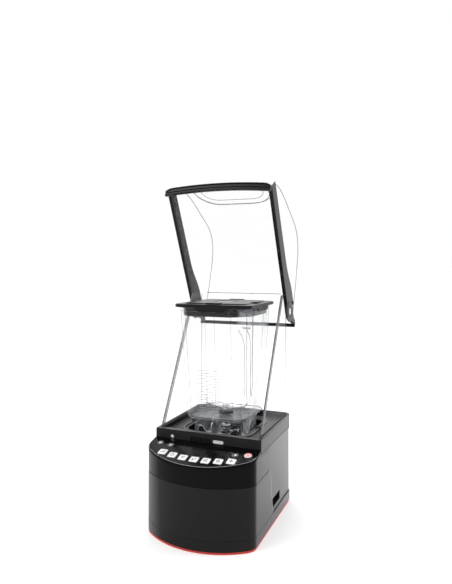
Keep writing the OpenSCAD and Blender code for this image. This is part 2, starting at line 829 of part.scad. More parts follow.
// Half-width and handle-corner distance of the jar's outside, at a height
function jar_half(z) = (jar_low_w + (jar_top_w - jar_low_w) * (z - jar_body_z) / jar_h) / 2;
function corner_at(z) = corner_low + (corner_top - corner_low) * (z - jar_body_z) / jar_h;
function jar_section(z, inset) = [z, jar_half(z) - inset, corner_at(z) - inset];

module jar_body() {
  skirt = skirt_w / 2;
  color([0.85, 0.88, 0.9, 0.35])
  difference() {
    jar_form([[jar_floor_z, skirt, skirt * corner_cut], jar_section(jar_body_z, 0), jar_section(rim_z, 0)]);
    jar_form([jar_section(jar_body_z, jar_t), jar_section(rim_z + 10, jar_t)]);
    rod(0, 0, jar_floor_z - 1, jar_body_z + 1, hub_bore_r + seat_gap);
  }
}

// Lower end of the same moulding, which stands on the drive plate
module jar_skirt() {
  skirt = skirt_w / 2;
  hollow = skirt - skirt_t;
  color([0.85, 0.88, 0.9, 0.35])
  difference() {
    jar_form([[plate_top, skirt, skirt * corner_cut], [jar_floor_z, skirt, skirt * corner_cut]]);
    jar_form([[plate_top - 1, hollow, hollow * corner_cut], [jar_floor_z + 1, hollow, hollow * corner_cut]]);
  }
}

module jar_handle() {
  top = rim_z - 0.6;
  low = rim_z - handle_l;
  color([0.85, 0.88, 0.9, 0.35])
  rotate([0, 0, -45]) along_y([
    [corner_at(top), top], [handle_reach - 5, top], [handle_reach, top - 7],
    [handle_reach, low + 40], [handle_reach - 4, low], [handle_reach - grip_t, low],
    [handle_reach - grip_t, rim_z - arm_h - 14], [handle_reach - grip_t - 6, rim_z - arm_h - 2],
    [corner_at(rim_z - arm_h), rim_z - arm_h]], -handle_w / 2, handle_w / 2);
}

module bearing_housing() {
  color([0.2, 0.2, 0.21])
  difference() {
    union() {
      rod(0, 0, jar_floor_z - nut_h, jar_body_z, hub_bore_r);
      rod(0, 0, jar_body_z, jar_body_z + 4, hub_bore_r + 5);
    }
    rod(0, 0, jar_floor_z - nut_h - 1, jar_body_z + 5, bearing_out_r);
  }
}

module retaining_nut() {
  color([0.12, 0.12, 0.12])
  difference() {
    union() {
      rod(0, 0, jar_floor_z - nut_h, jar_floor_z, nut_r - 1);
      for (a = [0:20:340]) rotate([0, 0, a])
        block(nut_r - 2, -1, jar_floor_z - nut_h, nut_r, 1, jar_floor_z);
    }
    rod(0, 0, jar_floor_z - nut_h - 1, jar_floor_z + 1, hub_bore_r);
  }
}

module blade_bearings() {
  color([0.6, 0.6, 0.62])
  for (z = [jar_floor_z - nut_h + 1, jar_body_z - 4]) difference() {
    rod(0, 0, z, z + 6, bearing_out_r);
    rod(0, 0, z - 1, z + 7, spindle_r + run_gap);
  }
}

module blade_shaft() {
  color([0.72, 0.72, 0.74]) {
    rod(0, 0, ball_z - 1, jar_floor_z - nut_h - 0.5, driven_r);
    rod(0, 0, jar_floor_z - nut_h - 0.5, blade_z + 9, spindle_r);
    difference() {
      rod(0, 0, jar_body_z + 4.5, blade_z, 6.5);
      rod(0, 0, jar_body_z + 4, blade_z + 1, spindle_r);
    }
    difference() {
      rod(0, 0, blade_z + 2.5, blade_z + 9, 6.5);
      rod(0, 0, blade_z + 2, blade_z + 10, spindle_r);
    }
  }
}

module wing_blade() {
  t = 2.5;
  half = blade_span / 2;
  tip_z = blade_z + wing_rise;
  wing = [[-7.5, blade_z], [-7.5, blade_z + t], [-half + 6, blade_z + t + 5], [-half + 2.5, tip_z],
    [-half, tip_z], [-half + 2, blade_z + 4]];
  color([0.78, 0.79, 0.8])
  difference() {
    union() {
      along_y(wing, -6, 6);
      mirror([1, 0, 0]) along_y(wing, -6, 6);
      rod(0, 0, blade_z, blade_z + t, 8);
    }
    rod(0, 0, blade_z - 1, blade_z + 10, spindle_r);
  }
}

// ---- Lid ----
module lid_body() {
  plug = jar_half(plug_z) - jar_t - plug_gap;
  plug_corner = corner_at(plug_z) - jar_t - plug_gap - 0.5;
  hole = insert_w + 2 * seat_gap;
  flange_z = rim_z + lid_flange;
  color([0.05, 0.05, 0.055])
  difference() {
    union() {
      prism(round_rect(lid_w, lid_w, 14), rim_z, flange_z);
      prism(round_rect(lid_w - 34, lid_w - 34, 14), flange_z, flange_z + 2);
      jar_form([[plug_z, plug, plug_corner], [rim_z, plug, plug_corner]]);
      for (a = [0:90:270]) rotate([0, 0, a])
        block(lid_w / 2 - 22, -16, flange_z, lid_w / 2 - 6, 16, flange_z + 3);
    }
    prism(round_rect(2 * plug - 8, 2 * plug - 8, 36), plug_z - 1, rim_z - 1);
    prism(round_rect(hole, hole, 3), rim_z - 2, flange_z + 5);
  }
}

module lid_insert() {
  top = rim_z + lid_flange;
  color([0.8, 0.8, 0.78])
  difference() {
    union() {
      prism(round_rect(insert_w, insert_w, 3), rim_z + 1, top);
      prism(round_rect(insert_w + 8, insert_w + 8, 4), rim_z - 4, rim_z - 1);
      prism(round_rect(insert_w - 1, insert_w - 1, 3), rim_z - 1, rim_z + 1);
    }
    for (i = [-2:2]) block(-11, i * 5 - 1, rim_z + 3, 11, i * 5 + 1, top + 1);
  }
}

// ---- Sound enclosure ----
shell_r = 15;
function shell_plan(inset) = concat(
  [[shell_x - inset, -frame_in_front]],
  arc(shell_x - shell_r, shell_back - shell_r, shell_r - inset, 0, 90, 6),
  arc(shell_r - shell_x, shell_back - shell_r, shell_r - inset, 90, 180, 6),
  [[inset - shell_x, -frame_in_front]]);

module frame_ring(z0, z1) {
  difference() {
    intersection() {
      prism(base_plan(0), z0, z1);
      block(-base_w, -frame_front, z0, base_w, base_back, z1);
    }
    block(-frame_in_x, -frame_in_front, z0 - 1, frame_in_x, frame_in_back, z1 + 1);
  }
}

module enclosure_frame() {
  color([0.06, 0.06, 0.065])
  difference() {
    frame_ring(shoulder_z + seal_t, frame_top);
    lug_row(0.5);
    difference() {
      prism(shell_plan(-seat_gap), shell_z, frame_top + 1);
      translate([0, -1, 0]) prism(shell_plan(clear_t + seat_gap), shell_z - 1, frame_top + 2);
      block(-base_w, -base_front, 0, base_w, seam_front - 1, frame_top + 3);
    }
  }
}

module frame_seal() {
  color([0.1, 0.1, 0.1])
  difference() {
    frame_ring(shoulder_z, shoulder_z + seal_t);
    lug_row(0.5);
  }
}

seam_front = -frame_in_front - 1.5;
shell_edge_top = 52;
module rear_shell() {
  color([0.86, 0.89, 0.91, 0.3])
  difference() {
    intersection() {
      difference() {
        prism(shell_plan(0), shell_z, shell_top);
        translate([0, -1, 0]) prism(shell_plan(clear_t), shell_z - 1, shell_top + 1);
      }
      along_x([[-frame_in_front, shell_z - 1], [-frame_in_front, frame_top],
        [shell_edge_top, shell_top + 1], [base_back, shell_top + 1], [base_back, shell_z - 1]],
        -base_w, base_w);
    }
    rod_x(-base_w, base_w, pivot_y, pivot_z, pin_r);
  }
}

module hinge_pins() {
  color([0.75, 0.76, 0.78])
  mirrored_x() {
    rod_x(shell_x - clear_t, hood_out_x + 2.2, pivot_y, pivot_z, pin_r);
    difference() {
      rod_x(shell_x, hood_in_x - 0.3, pivot_y, pivot_z, 8);
      rod_x(shell_x - 1, hood_in_x, pivot_y, pivot_z, pin_r);
    }
    rod_x(hood_out_x + 0.3, hood_out_x + 2.2, pivot_y, pivot_z, 7.5);
  }
}

hood_boss = 15;
// Closed hood in the (Y, Z) plane, from its front edge over the roof to its rear edge
hood_start = [-panel_back, frame_top + 1 + band_w];
hood_end = [pivot_y + hood_boss, shell_top + hood_rise];
hood_path = spline([hood_start,
  hood_start + [-hood_bulge + 6, 34], hood_start + [-hood_bulge, 80],
  [-panel_back - hood_bulge + 11, pivot_z - 50], [-panel_back - 6, pivot_z + 8],
  [-panel_back + 30, hood_end[1] - 7], [2 - panel_back + 92, hood_end[1]],
  [pivot_y - 20, hood_end[1]], hood_end], 4);
rim_path = concat([hood_start], arc(pivot_y, pivot_z, hood_boss, -46, 0, 6), [hood_end]);

module hood_turn() {
  translate([0, pivot_y, pivot_z]) rotate([-hood_open, 0, 0]) translate([0, -pivot_y, -pivot_z]) children();
}

module hood_shell() {
  outside = concat(hood_path, reversed(rim_path));
  inside = concat(shift_right(hood_path, clear_t), [[base_back + 60, hood_end[1] - clear_t],
    [base_back + 60, shoulder_z], [20 - panel_back, shoulder_z]]);
  color([0.86, 0.89, 0.91, 0.3])
  hood_turn() difference() {
    along_x(outside, -hood_out_x, hood_out_x);
    along_x(inside, -hood_in_x, hood_in_x);
    rod_x(-base_w, base_w, pivot_y, pivot_z, pin_r + run_gap);
  }
}

module hood_gasket() {
  strip = concat(rim_path, reversed(shift_right(rim_path, band_w)));
  band_x = hood_out_x + 3;
  color([0.04, 0.04, 0.04])
  hood_turn() {
    mirrored_x() along_x(strip, hood_in_x - 0.8, band_x);
    block(-band_x, hood_start[0] - 3.5, hood_start[1] - band_w, band_x, hood_start[0] + 3.5, hood_start[1]);
    block(-band_x, hood_end[0], hood_end[1] - band_w, band_x, hood_end[0] + band_w, hood_end[1]);
  }
}

foot_pad();
floor_tray();
rear_housing();
shoulder_plate();
front_cover();
upper_band();
control_panel();
display_window();
deck();
enclosure_lugs();
grip_cups();
air_duct();
circuit_boards();
earth_lead();
base_screws();
cord_gland();
switch_bezel();
switch_rocker();
key_1();
key_2();
key_3();
key_4();
key_5();
key_6();
key_7();
key_slower();
key_faster();
key_pulse();
key_stop();
plate_gasket();
drive_plate();
motor_bracket();
stator_core();
field_coils();
motor_housing();
end_cap();
brass_contacts();
through_bolts();
motor_bearings();
rotor_shaft();
armature_core();
commutator();
cooling_fan();
drive_ball();
jar_body();
jar_skirt();
jar_handle();
bearing_housing();
retaining_nut();
blade_bearings();
wing_blade();
blade_shaft();
lid_body();
lid_insert();
enclosure_frame();
frame_seal();
rear_shell();
hinge_pins();
hood_shell();
hood_gasket();
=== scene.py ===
# Countertop blender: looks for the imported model, in metres, in the model's own frame.
import bmesh
import bpy
import math
from mathutils import Matrix, Vector


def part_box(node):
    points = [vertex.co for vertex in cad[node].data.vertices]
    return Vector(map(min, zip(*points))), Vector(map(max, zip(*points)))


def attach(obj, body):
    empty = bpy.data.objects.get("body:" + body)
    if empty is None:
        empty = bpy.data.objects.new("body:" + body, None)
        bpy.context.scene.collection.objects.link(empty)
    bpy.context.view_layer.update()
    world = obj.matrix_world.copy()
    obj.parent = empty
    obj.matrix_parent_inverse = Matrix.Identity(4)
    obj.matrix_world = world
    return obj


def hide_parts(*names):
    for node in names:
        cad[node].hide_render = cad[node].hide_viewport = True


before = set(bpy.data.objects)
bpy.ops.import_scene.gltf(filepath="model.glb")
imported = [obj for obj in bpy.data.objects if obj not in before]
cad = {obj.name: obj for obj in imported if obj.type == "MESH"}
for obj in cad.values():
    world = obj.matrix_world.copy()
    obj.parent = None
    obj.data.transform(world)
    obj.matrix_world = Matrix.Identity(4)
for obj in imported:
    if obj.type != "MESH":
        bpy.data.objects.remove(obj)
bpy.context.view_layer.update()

mm = 0.001
print("frame loaded:", len(cad), "nodes")

# Where the viewer stands, and how far the picture is shifted
view = {"place": (0.394, -0.975, 0.473), "turn": 0.384, "lens": 33.7, "shiftY": -0.0466}
cameraData = bpy.data.cameras.new("viewCamera")
cameraData.lens = view["lens"]
cameraData.sensor_width = 36
cameraData.shift_y = view["shiftY"]
camera = bpy.data.objects.new("viewCamera", cameraData)
camera.location = view["place"]
camera.rotation_euler = (math.pi / 2, 0, view["turn"])
bpy.context.scene.collection.objects.link(camera)
bpy.context.scene.camera = camera


# Helpers that make and finish meshes
def sharpen(mesh, angle=32):
    work = bmesh.new()
    work.from_mesh(mesh)
    for edge in work.edges:
        flat = len(edge.link_faces) == 2 and edge.calc_face_angle(math.pi) < math.radians(angle)
        edge.smooth = flat
    for face in work.faces:
        face.smooth = True
    work.to_mesh(mesh)
    work.free()


def newPiece(name, points, faces, finish, angle=32, scale=mm):
    mesh = bpy.data.meshes.new(name)
    mesh.from_pydata([[c * scale for c in p] for p in points], [], faces)
    work = bmesh.new()
    work.from_mesh(mesh)
    bmesh.ops.remove_doubles(work, verts=work.verts, dist=0.00001)
    bmesh.ops.recalc_face_normals(work, faces=work.faces)
    work.to_mesh(mesh)
    work.free()
    sharpen(mesh, angle)
    mesh.materials.append(finish)
    piece = bpy.data.objects.new(name, mesh)
    bpy.context.scene.collection.objects.link(piece)
    return piece


def bake(piece):
    # Turns a piece with modifiers into one plain mesh of the same name
    bpy.context.view_layer.update()
    graph = bpy.context.evaluated_depsgraph_get()
    mesh = bpy.data.meshes.new_from_object(piece.evaluated_get(graph), preserve_all_data_layers=True,
                                           depsgraph=graph)
    piece.modifiers.clear()
    piece.data = mesh
    mesh.name = piece.name
    return piece


def bevelled(piece, width, segments=3, angle=32):
    bevel = piece.modifiers.new("soft", "BEVEL")
    bevel.width = width * mm
    bevel.segments = segments
    bevel.limit_method = "ANGLE"
    bevel.angle_limit = math.radians(angle)
    bevel.harden_normals = True
    bevel.use_clamp_overlap = True
    bevel.miter_outer = "MITER_ARC"
    return bake(piece)


def copyOf(node, name, finish, flatten=True):
    # A merged copy of a CAD node, with its flat faces joined again unless they hold openings
    mesh = cad[node].data.copy()
    work = bmesh.new()
    work.from_mesh(mesh)
    bmesh.ops.remove_doubles(work, verts=work.verts, dist=0.00002)
    if flatten:
        bmesh.ops.dissolve_limit(work, angle_limit=math.radians(1.0), verts=work.verts, edges=work.edges)
    work.to_mesh(mesh)
    work.free()
    mesh.name = name
    mesh.materials.clear()
    mesh.materials.append(finish)
    if "custom_normal" in mesh.attributes:
        mesh.attributes.remove(mesh.attributes["custom_normal"])
    sharpen(mesh)
    piece = bpy.data.objects.new(name, mesh)
    bpy.context.scene.collection.objects.link(piece)
    return piece


def loft(name, rings, finish, closed=False, caps=True, angle=32):
    # Joins rings of equally many points; closed joins the last ring to the first
    count = len(rings[0])
    points = [p for ring in rings for p in ring]
    faces = []
    steps = len(rings) if closed else len(rings) - 1
    for i in range(steps):
        a, b = i * count, ((i + 1) % len(rings)) * count
        for k in range(count):
            n = (k + 1) % count
            faces.append((a + k, a + n, b + n, b + k))
    if caps and not closed:
        faces.append(tuple(range(count)))
        faces.append(tuple(reversed(range((len(rings) - 1) * count, len(rings) * count))))
    return newPiece(name, points, faces, finish, angle)


def joined(name, pieces):
    # One mesh from several, each keeping its own finish
    work = bmesh.new()
    finishes = []
    for piece in pieces:
        start = len(work.faces)
        slots = []
        for finish in piece.data.materials:
            if finish not in finishes:
                finishes.append(finish)
            slots.append(finishes.index(finish))
        work.from_mesh(piece.data)
        work.faces.ensure_lookup_table()
        for face in work.faces[start:]:
            face.material_index = slots[min(face.material_index, len(slots) - 1)]
    mesh = bpy.data.meshes.new(name)
    work.to_mesh(mesh)
    work.free()
    for finish in finishes:
        mesh.materials.append(finish)
    for piece in pieces:
        bpy.data.objects.remove(piece)
    result = bpy.data.objects.new(name, mesh)
    bpy.context.scene.collection.objects.link(result)
    return result


def turned(piece, matrix):
    piece.data.transform(matrix)
    return piece


def settle(piece, body, slot, *nodes):
    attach(piece, body)
    if nodes:
        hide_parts(*nodes)
    return piece


# Outlines and lines, in millimetres
def arc(cx, cy, r, start, end, n):
    spread = [math.radians(start + (end - start) * i / n) for i in range(n + 1)]
    return [(cx + r * math.cos(a), cy + r * math.sin(a)) for a in spread]


def roundRect(w, d, r, n=8):
    x, y = w / 2 - r, d / 2 - r
    return arc(x, y, r, 0, 90, n) + arc(-x, y, r, 90, 180, n) + arc(-x, -y, r, 180, 270, n) + arc(x, -y, r, 270,
                                                                                                  360, n)


def at(outline, z):
    return [(p[0], p[1], z) for p in outline]


def filleted(corners, r, n=5):
    # Rounds every corner of a convex outline
    result = []
    count = len(corners)
    for i in range(count):
        here = Vector(corners[i])
        before = (Vector(corners[i - 1]) - here)
        after = (Vector(corners[(i + 1) % count]) - here)
        half = before.angle(after) / 2
        reach = min(r / math.tan(half), before.length * 0.48, after.length * 0.48)
        radius = reach * math.tan(half)
        middle = here + (before.normalized() + after.normalized()).normalized() * radius / math.sin(half)
        first = here + before.normalized() * reach - middle
        last = here + after.normalized() * reach - middle
        swing = first.angle_signed(last)
        for k in range(n + 1):
            a = -swing * k / n
            result.append((middle.x + first.x * math.cos(a) - first.y * math.sin(a),
                           middle.y + first.x * math.sin(a) + first.y * math.cos(a)))
    return result


def spline(points, n):
    # A smooth line through the points, n steps between each two
    result = []
    for i in range(len(points) - 1):
        a, b, c, d = (points[j] for j in (max(i - 1, 0), i, i + 1, min(i + 2, len(points) - 1)))
        for k in range(n):
            t = k / n
            result.append(tuple(0.5 * (2 * q + (r - p) * t + (2 * p - 5 * q + 4 * r - s) * t * t
                                       + (3 * q - p - 3 * r + s) * t ** 3) for p, q, r, s in zip(a, b, c, d)))
    return result + [tuple(points[-1])]


def evenly(line, n):
    # n + 1 points at equal steps along a line
    lengths = [0.0]
    for a, b in zip(line, line[1:]):
        lengths.append(lengths[-1] + math.dist(a, b))
    result, j = [], 0
    for i in range(n + 1):
        want = lengths[-1] * i / n
        while j < len(line) - 2 and lengths[j + 1] < want:
            j += 1
        t = (want - lengths[j]) / max(lengths[j + 1] - lengths[j], 1e-9)
        result.append(tuple(p + (q - p) * t for p, q in zip(line[j], line[j + 1])))
    return result


# Finishes: noise on object coordinates gives each its grain
def makeFinish(name, tone, vary=0.12, patch=30, rough=(0.3, 0.4), metal=0.0, grain=900, depth=0.05,
               stretch=(1, 1, 1), specular=0.5, grazing=None, glow=0.0, wear=0.0):
    finish = bpy.data.materials.new(name)
    finish.use_nodes = True
    nodes, links = finish.node_tree.nodes, finish.node_tree.links
    shader = nodes["Principled BSDF"]
    shader.inputs["Metallic"].default_value = metal
    shader.inputs["Specular IOR Level"].default_value = specular
    if grazing is not None:
        slant = nodes.new("ShaderNodeLayerWeight")
        gloss = nodes.new("ShaderNodeMapRange")
        gloss.inputs["From Min"].default_value = 0.45
        gloss.inputs["From Max"].default_value = 0.8
        gloss.inputs["To Min"].default_value = specular
        gloss.inputs["To Max"].default_value = grazing
        links.new(slant.outputs["Facing"], gloss.inputs["Value"])
        links.new(gloss.outputs["Result"], shader.inputs["Specular IOR Level"])
    place = nodes.new("ShaderNodeTexCoord")
    pull = nodes.new("ShaderNodeMapping")
    pull.inputs["Scale"].default_value = stretch
    links.new(place.outputs["Object"], pull.inputs["Vector"])
    broad = nodes.new("ShaderNodeTexNoise")
    broad.inputs["Scale"].default_value = patch
    broad.inputs["Detail"].default_value = 4
    links.new(pull.outputs["Vector"], broad.inputs["Vector"])
    fine = nodes.new("ShaderNodeTexNoise")
    fine.inputs["Scale"].default_value = grain
    fine.inputs["Detail"].default_value = 3
    links.new(pull.outputs["Vector"], fine.inputs["Vector"])
    colour = nodes.new("ShaderNodeMix")
    colour.data_type = "RGBA"
    colour.inputs[6].default_value = [c * (1 - vary) for c in tone[:3]] + [1]
    colour.inputs[7].default_value = [min(c * (1 + vary), 1) for c in tone[:3]] + [1]
    links.new(broad.outputs["Fac"], colour.inputs["Factor"])
    top = colour.outputs[2]
    if wear:
        edge = nodes.new("ShaderNodeNewGeometry")
        sort = nodes.new("ShaderNodeMapRange")
        sort.inputs["From Min"].default_value = 0.52
        sort.inputs["From Max"].default_value = 0.62
        sort.inputs["To Max"].default_value = wear
        links.new(edge.outputs["Pointiness"], sort.inputs["Value"])
        worn = nodes.new("ShaderNodeMix")
        worn.data_type = "RGBA"
        worn.inputs[7].default_value = [min(c * 2.2 + 0.05, 1) for c in tone[:3]] + [1]
        links.new(sort.outputs["Result"], worn.inputs["Factor"])
        links.new(top, worn.inputs[6])
        top = worn.outputs[2]
    links.new(top, shader.inputs["Base Color"])
    if glow:
        links.new(top, shader.inputs["Emission Color"])
        shader.inputs["Emission Strength"].default_value = glow
    spread = nodes.new("ShaderNodeMapRange")
    spread.inputs["From Min"].default_value = 0.3
    spread.inputs["From Max"].default_value = 0.7
    spread.inputs["To Min"].default_value = rough[0]
    spread.inputs["To Max"].default_value = rough[1]
    links.new(fine.outputs["Fac"], spread.inputs["Value"])
    links.new(spread.outputs["Result"], shader.inputs["Roughness"])
    bump = nodes.new("ShaderNodeBump")
    bump.inputs["Strength"].default_value = depth
    bump.inputs["Distance"].default_value = 0.0004
    links.new(fine.outputs["Fac"], bump.inputs["Height"])
    links.new(bump.outputs["Normal"], shader.inputs["Normal"])
    return finish


def makeClear(name, tone, edgeTone, face, edge, rough=0.04, power=2.0):
    # Clear plastic: nearly see-through face on, greyer and denser where it is seen edge on
    finish = bpy.data.materials.new(name)
    finish.use_nodes = True
    nodes, links = finish.node_tree.nodes, finish.node_tree.links
    shader = nodes["Principled BSDF"]
    shader.inputs["IOR"].default_value = 1.5
    shader.inputs["Specular IOR Level"].default_value = 0.5
    slant = nodes.new("ShaderNodeLayerWeight")
    slant.inputs["Blend"].default_value = 0.3
    curve = nodes.new("ShaderNodeMath")
    curve.operation = "POWER"
    curve.inputs[1].default_value = power
    links.new(slant.outputs["Facing"], curve.inputs[0])
    place = nodes.new("ShaderNodeTexCoord")
    waves = nodes.new("ShaderNodeTexNoise")
    waves.inputs["Scale"].default_value = 18
    links.new(place.outputs["Object"], waves.inputs["Vector"])
    bump = nodes.new("ShaderNodeBump")
    bump.inputs["Strength"].default_value = 0.12
    bump.inputs["Distance"].default_value = 0.002
    links.new(waves.outputs["Fac"], bump.inputs["Height"])
    links.new(bump.outputs["Normal"], shader.inputs["Normal"])
    haze = nodes.new("ShaderNodeMapRange")
    haze.inputs["To Min"].default_value = rough
    haze.inputs["To Max"].default_value = rough + 0.06
    links.new(waves.outputs["Fac"], haze.inputs["Value"])
    links.new(haze.outputs["Result"], shader.inputs["Roughness"])
    dense = nodes.new("ShaderNodeMapRange")
    dense.inputs["To Min"].default_value = face
    dense.inputs["To Max"].default_value = edge
    links.new(curve.outputs[0], dense.inputs["Value"])
    links.new(dense.outputs["Result"], shader.inputs["Alpha"])
    colour = nodes.new("ShaderNodeMix")
    colour.data_type = "RGBA"
    colour.inputs[6].default_value = (*tone, 1)
    colour.inputs[7].default_value = (*edgeTone, 1)
    links.new(curve.outputs[0], colour.inputs["Factor"])
    links.new(colour.outputs[2], shader.inputs["Base Color"])
    return finish


siliconeRed = makeFinish("siliconeRed", (0.5, 0.04, 0.028), rough=(0.42, 0.55), grain=1500, depth=0.06,
                         specular=0.3)
satinBlack = makeFinish("satinBlack", (0.009, 0.0082, 0.008), rough=(0.24, 0.31), grain=2200, depth=0.08,
                        specular=0.1, grazing=0.8, wear=0.1)
pianoBlack = makeFinish("pianoBlack", (0.003, 0.003, 0.0033), rough=(0.07, 0.11), patch=12, depth=0.01,
                        specular=0.06, grazing=0.5)
panelBlack = makeFinish("panelBlack", (0.0035, 0.0035, 0.004), rough=(0.1, 0.15), patch=12, depth=0.01,
                        specular=0.03)
# Near black: painted shade down in the deck's pocket and in the slots of the bracket and frame, also the colour
# of the deck's pads
pocketBlack = makeFinish("pocketBlack", (0.0015, 0.0015, 0.0015), rough=(0.5, 0.6), depth=0.05, specular=0.03)
deckGrey = makeFinish("deckGrey", (0.02, 0.0195, 0.02), rough=(0.28, 0.38), grain=1900, depth=0.1, specular=0.2,
                      wear=0.25)
# Pale grey for the rods down the seam: a painted highlight
seamGrey = makeFinish("seamGrey", (0.42, 0.42, 0.44), rough=(0.2, 0.3), grain=1500, depth=0.05)
# Lighter grey for the ridges round the deck's pocket: a painted highlight along them
ridgeGrey = makeFinish("ridgeGrey", (0.13, 0.13, 0.135), rough=(0.2, 0.3), grain=1500, depth=0.06, specular=0.5)
displayDark = makeFinish("displayDark", (0.0008, 0.0008, 0.001), rough=(0.05, 0.08), patch=60, depth=0.0,
                         specular=0.03)
boardGreen = makeFinish("boardGreen", (0.03, 0.27, 0.07), vary=0.35, patch=260, rough=(0.35, 0.5), grain=600,
                        depth=0.1)
leadMint = makeFinish("leadMint", (0.38, 0.68, 0.48), vary=0.08, patch=90, rough=(0.3, 0.42), grain=1300)
screwSteel = makeFinish("screwSteel", (0.52, 0.53, 0.55), metal=1.0, rough=(0.22, 0.38), stretch=(1, 1, 12),
                        grain=1200)
glandRubber = makeFinish("glandRubber", (0.006, 0.006, 0.006), rough=(0.5, 0.65), grain=1600, depth=0.15,
                         specular=0.1)
keyLit = makeFinish("keyLit", (0.74, 0.74, 0.74), vary=0.06, patch=120, rough=(0.3, 0.4), glow=0.12)
keyDark = makeFinish("keyDark", (0.008, 0.008, 0.009), rough=(0.12, 0.2), grain=1500, depth=0.02)
keyRed = makeFinish("keyRed", (0.7, 0.05, 0.035), vary=0.06, rough=(0.2, 0.3), glow=0.25)
iconInk = makeFinish("iconInk", (0.03, 0.03, 0.032), rough=(0.4, 0.5))
chrome = makeFinish("chrome", (0.34, 0.345, 0.355), vary=0.05, patch=14, metal=1.0, rough=(0.12, 0.18),
                    grain=300, depth=0.003)
castAluminium = makeFinish("castAluminium", (0.19, 0.185, 0.175), vary=0.2, patch=60, metal=0.9,
                           rough=(0.34, 0.5), grain=1400, depth=0.3, wear=0.2)
stackedSteel = makeFinish("stackedSteel", (0.09, 0.084, 0.078), vary=0.3, patch=38, metal=0.85,
                          rough=(0.3, 0.42), stretch=(1, 1, 14), grain=500, depth=0.25)
enamelCopper = makeFinish("enamelCopper", (0.42, 0.15, 0.05), vary=0.25, patch=400, metal=0.85,
                          rough=(0.25, 0.4), grain=900, depth=0.25)
motorBlack = makeFinish("motorBlack", (0.009, 0.0082, 0.0078), rough=(0.3, 0.42), grain=1500, depth=0.18,
                        specular=0.2, wear=0.3)
contactBrass = makeFinish("contactBrass", (0.3, 0.19, 0.06), metal=1.0, rough=(0.25, 0.4), grain=900)
wireYellow = makeFinish("wireYellow", (0.6, 0.55, 0.08), rough=(0.35, 0.45), patch=200, vary=0.3)
lidRubber = makeFinish("lidRubber", (0.006, 0.0058, 0.006), rough=(0.3, 0.42), grain=1700, depth=0.12,
                       specular=0.08, grazing=0.5, wear=0.2)
insertPale = makeFinish("insertPale", (0.62, 0.61, 0.58), vary=0.08, rough=(0.45, 0.6), grain=1200, depth=0.12)
frameBlack = makeFinish("frameBlack", (0.008, 0.008, 0.0085), rough=(0.28, 0.4), grain=1800, depth=0.12,
                        specular=0.05, grazing=0.5, wear=0.25)
bandRubber = makeFinish("bandRubber", (0.003, 0.003, 0.0034), rough=(0.2, 0.28), grain=1500, depth=0.05,
                        specular=0.16)
markGrey = makeFinish("markGrey", (0.2, 0.2, 0.22), rough=(0.5, 0.6), patch=150)
trimSilver = makeFinish("trimSilver", (0.7, 0.7, 0.72), vary=0.04, metal=1.0, rough=(0.15, 0.25), grain=900)
jarClear = makeClear("jarClear", (0.75, 0.78, 0.82), (0.045, 0.045, 0.055), 0.016, 0.92, power=2.7)
hoodClear = makeClear("hoodClear", (0.78, 0.8, 0.83), (0.07, 0.07, 0.085), 0.012, 0.6, power=5.0)
# Dark, dense clear finish for rods sunk in clear walls: painted shade along their edges
edgeClear = makeClear("edgeClear", (0.07, 0.07, 0.08), (0.03, 0.03, 0.035), 0.5, 0.92)
# Dark clear finish for strips inside the shell's front edges: painted shade
pillarClear = makeClear("pillarClear", (0.06, 0.06, 0.08), (0.03, 0.03, 0.04), 0.45, 0.9)
handleClear = makeClear("handleClear", (0.75, 0.76, 0.82), (0.2, 0.2, 0.22), 0.06, 0.7, power=2.2)
print("finishes made")


# Geometry Nodes that repeat a unit or follow a line
def newTree(name, inputs):
    tree = bpy.data.node_groups.new(name, "GeometryNodeTree")
    tree.interface.new_socket("Geometry", in_out="OUTPUT", socket_type="NodeSocketGeometry")
    tree.interface.new_socket("Geometry", in_out="INPUT", socket_type="NodeSocketGeometry")
    ids = {}
    for label, kind in inputs:
        ids[label] = tree.interface.new_socket(label, in_out="INPUT",
                                               socket_type="NodeSocket" + kind).identifier
    entry = tree.nodes.new("NodeGroupInput")
    leave = tree.nodes.new("NodeGroupOutput")
    return tree, ids, entry, leave


def closeTree(tree, entry, leave, geometry):
    realize = tree.nodes.new("GeometryNodeRealizeInstances")
    paint = tree.nodes.new("GeometryNodeSetMaterial")
    tree.links.new(geometry, realize.inputs[0])
    tree.links.new(realize.outputs[0], paint.inputs["Geometry"])
    tree.links.new(entry.outputs["Finish"], paint.inputs["Material"])
    tree.links.new(paint.outputs[0], leave.inputs[0])


def rowTree():
    # Count units in a straight row, Step apart
    tree, ids, entry, leave = newTree("rowOfUnits", [
        ("Unit", "Object"), ("Count", "Int"), ("Start", "Vector"), ("Step", "Vector"), ("Finish", "Material")])
    line = tree.nodes.new("GeometryNodeMeshLine")
    unit = tree.nodes.new("GeometryNodeObjectInfo")
    spread = tree.nodes.new("GeometryNodeInstanceOnPoints")
    tree.links.new(entry.outputs["Count"], line.inputs["Count"])
    tree.links.new(entry.outputs["Start"], line.inputs["Start Location"])
    tree.links.new(entry.outputs["Step"], line.inputs["Offset"])
    tree.links.new(entry.outputs["Unit"], unit.inputs["Object"])
    tree.links.new(line.outputs[0], spread.inputs["Points"])
    tree.links.new(unit.outputs["Geometry"], spread.inputs["Instance"])
    closeTree(tree, entry, leave, spread.outputs[0])
    return tree, ids


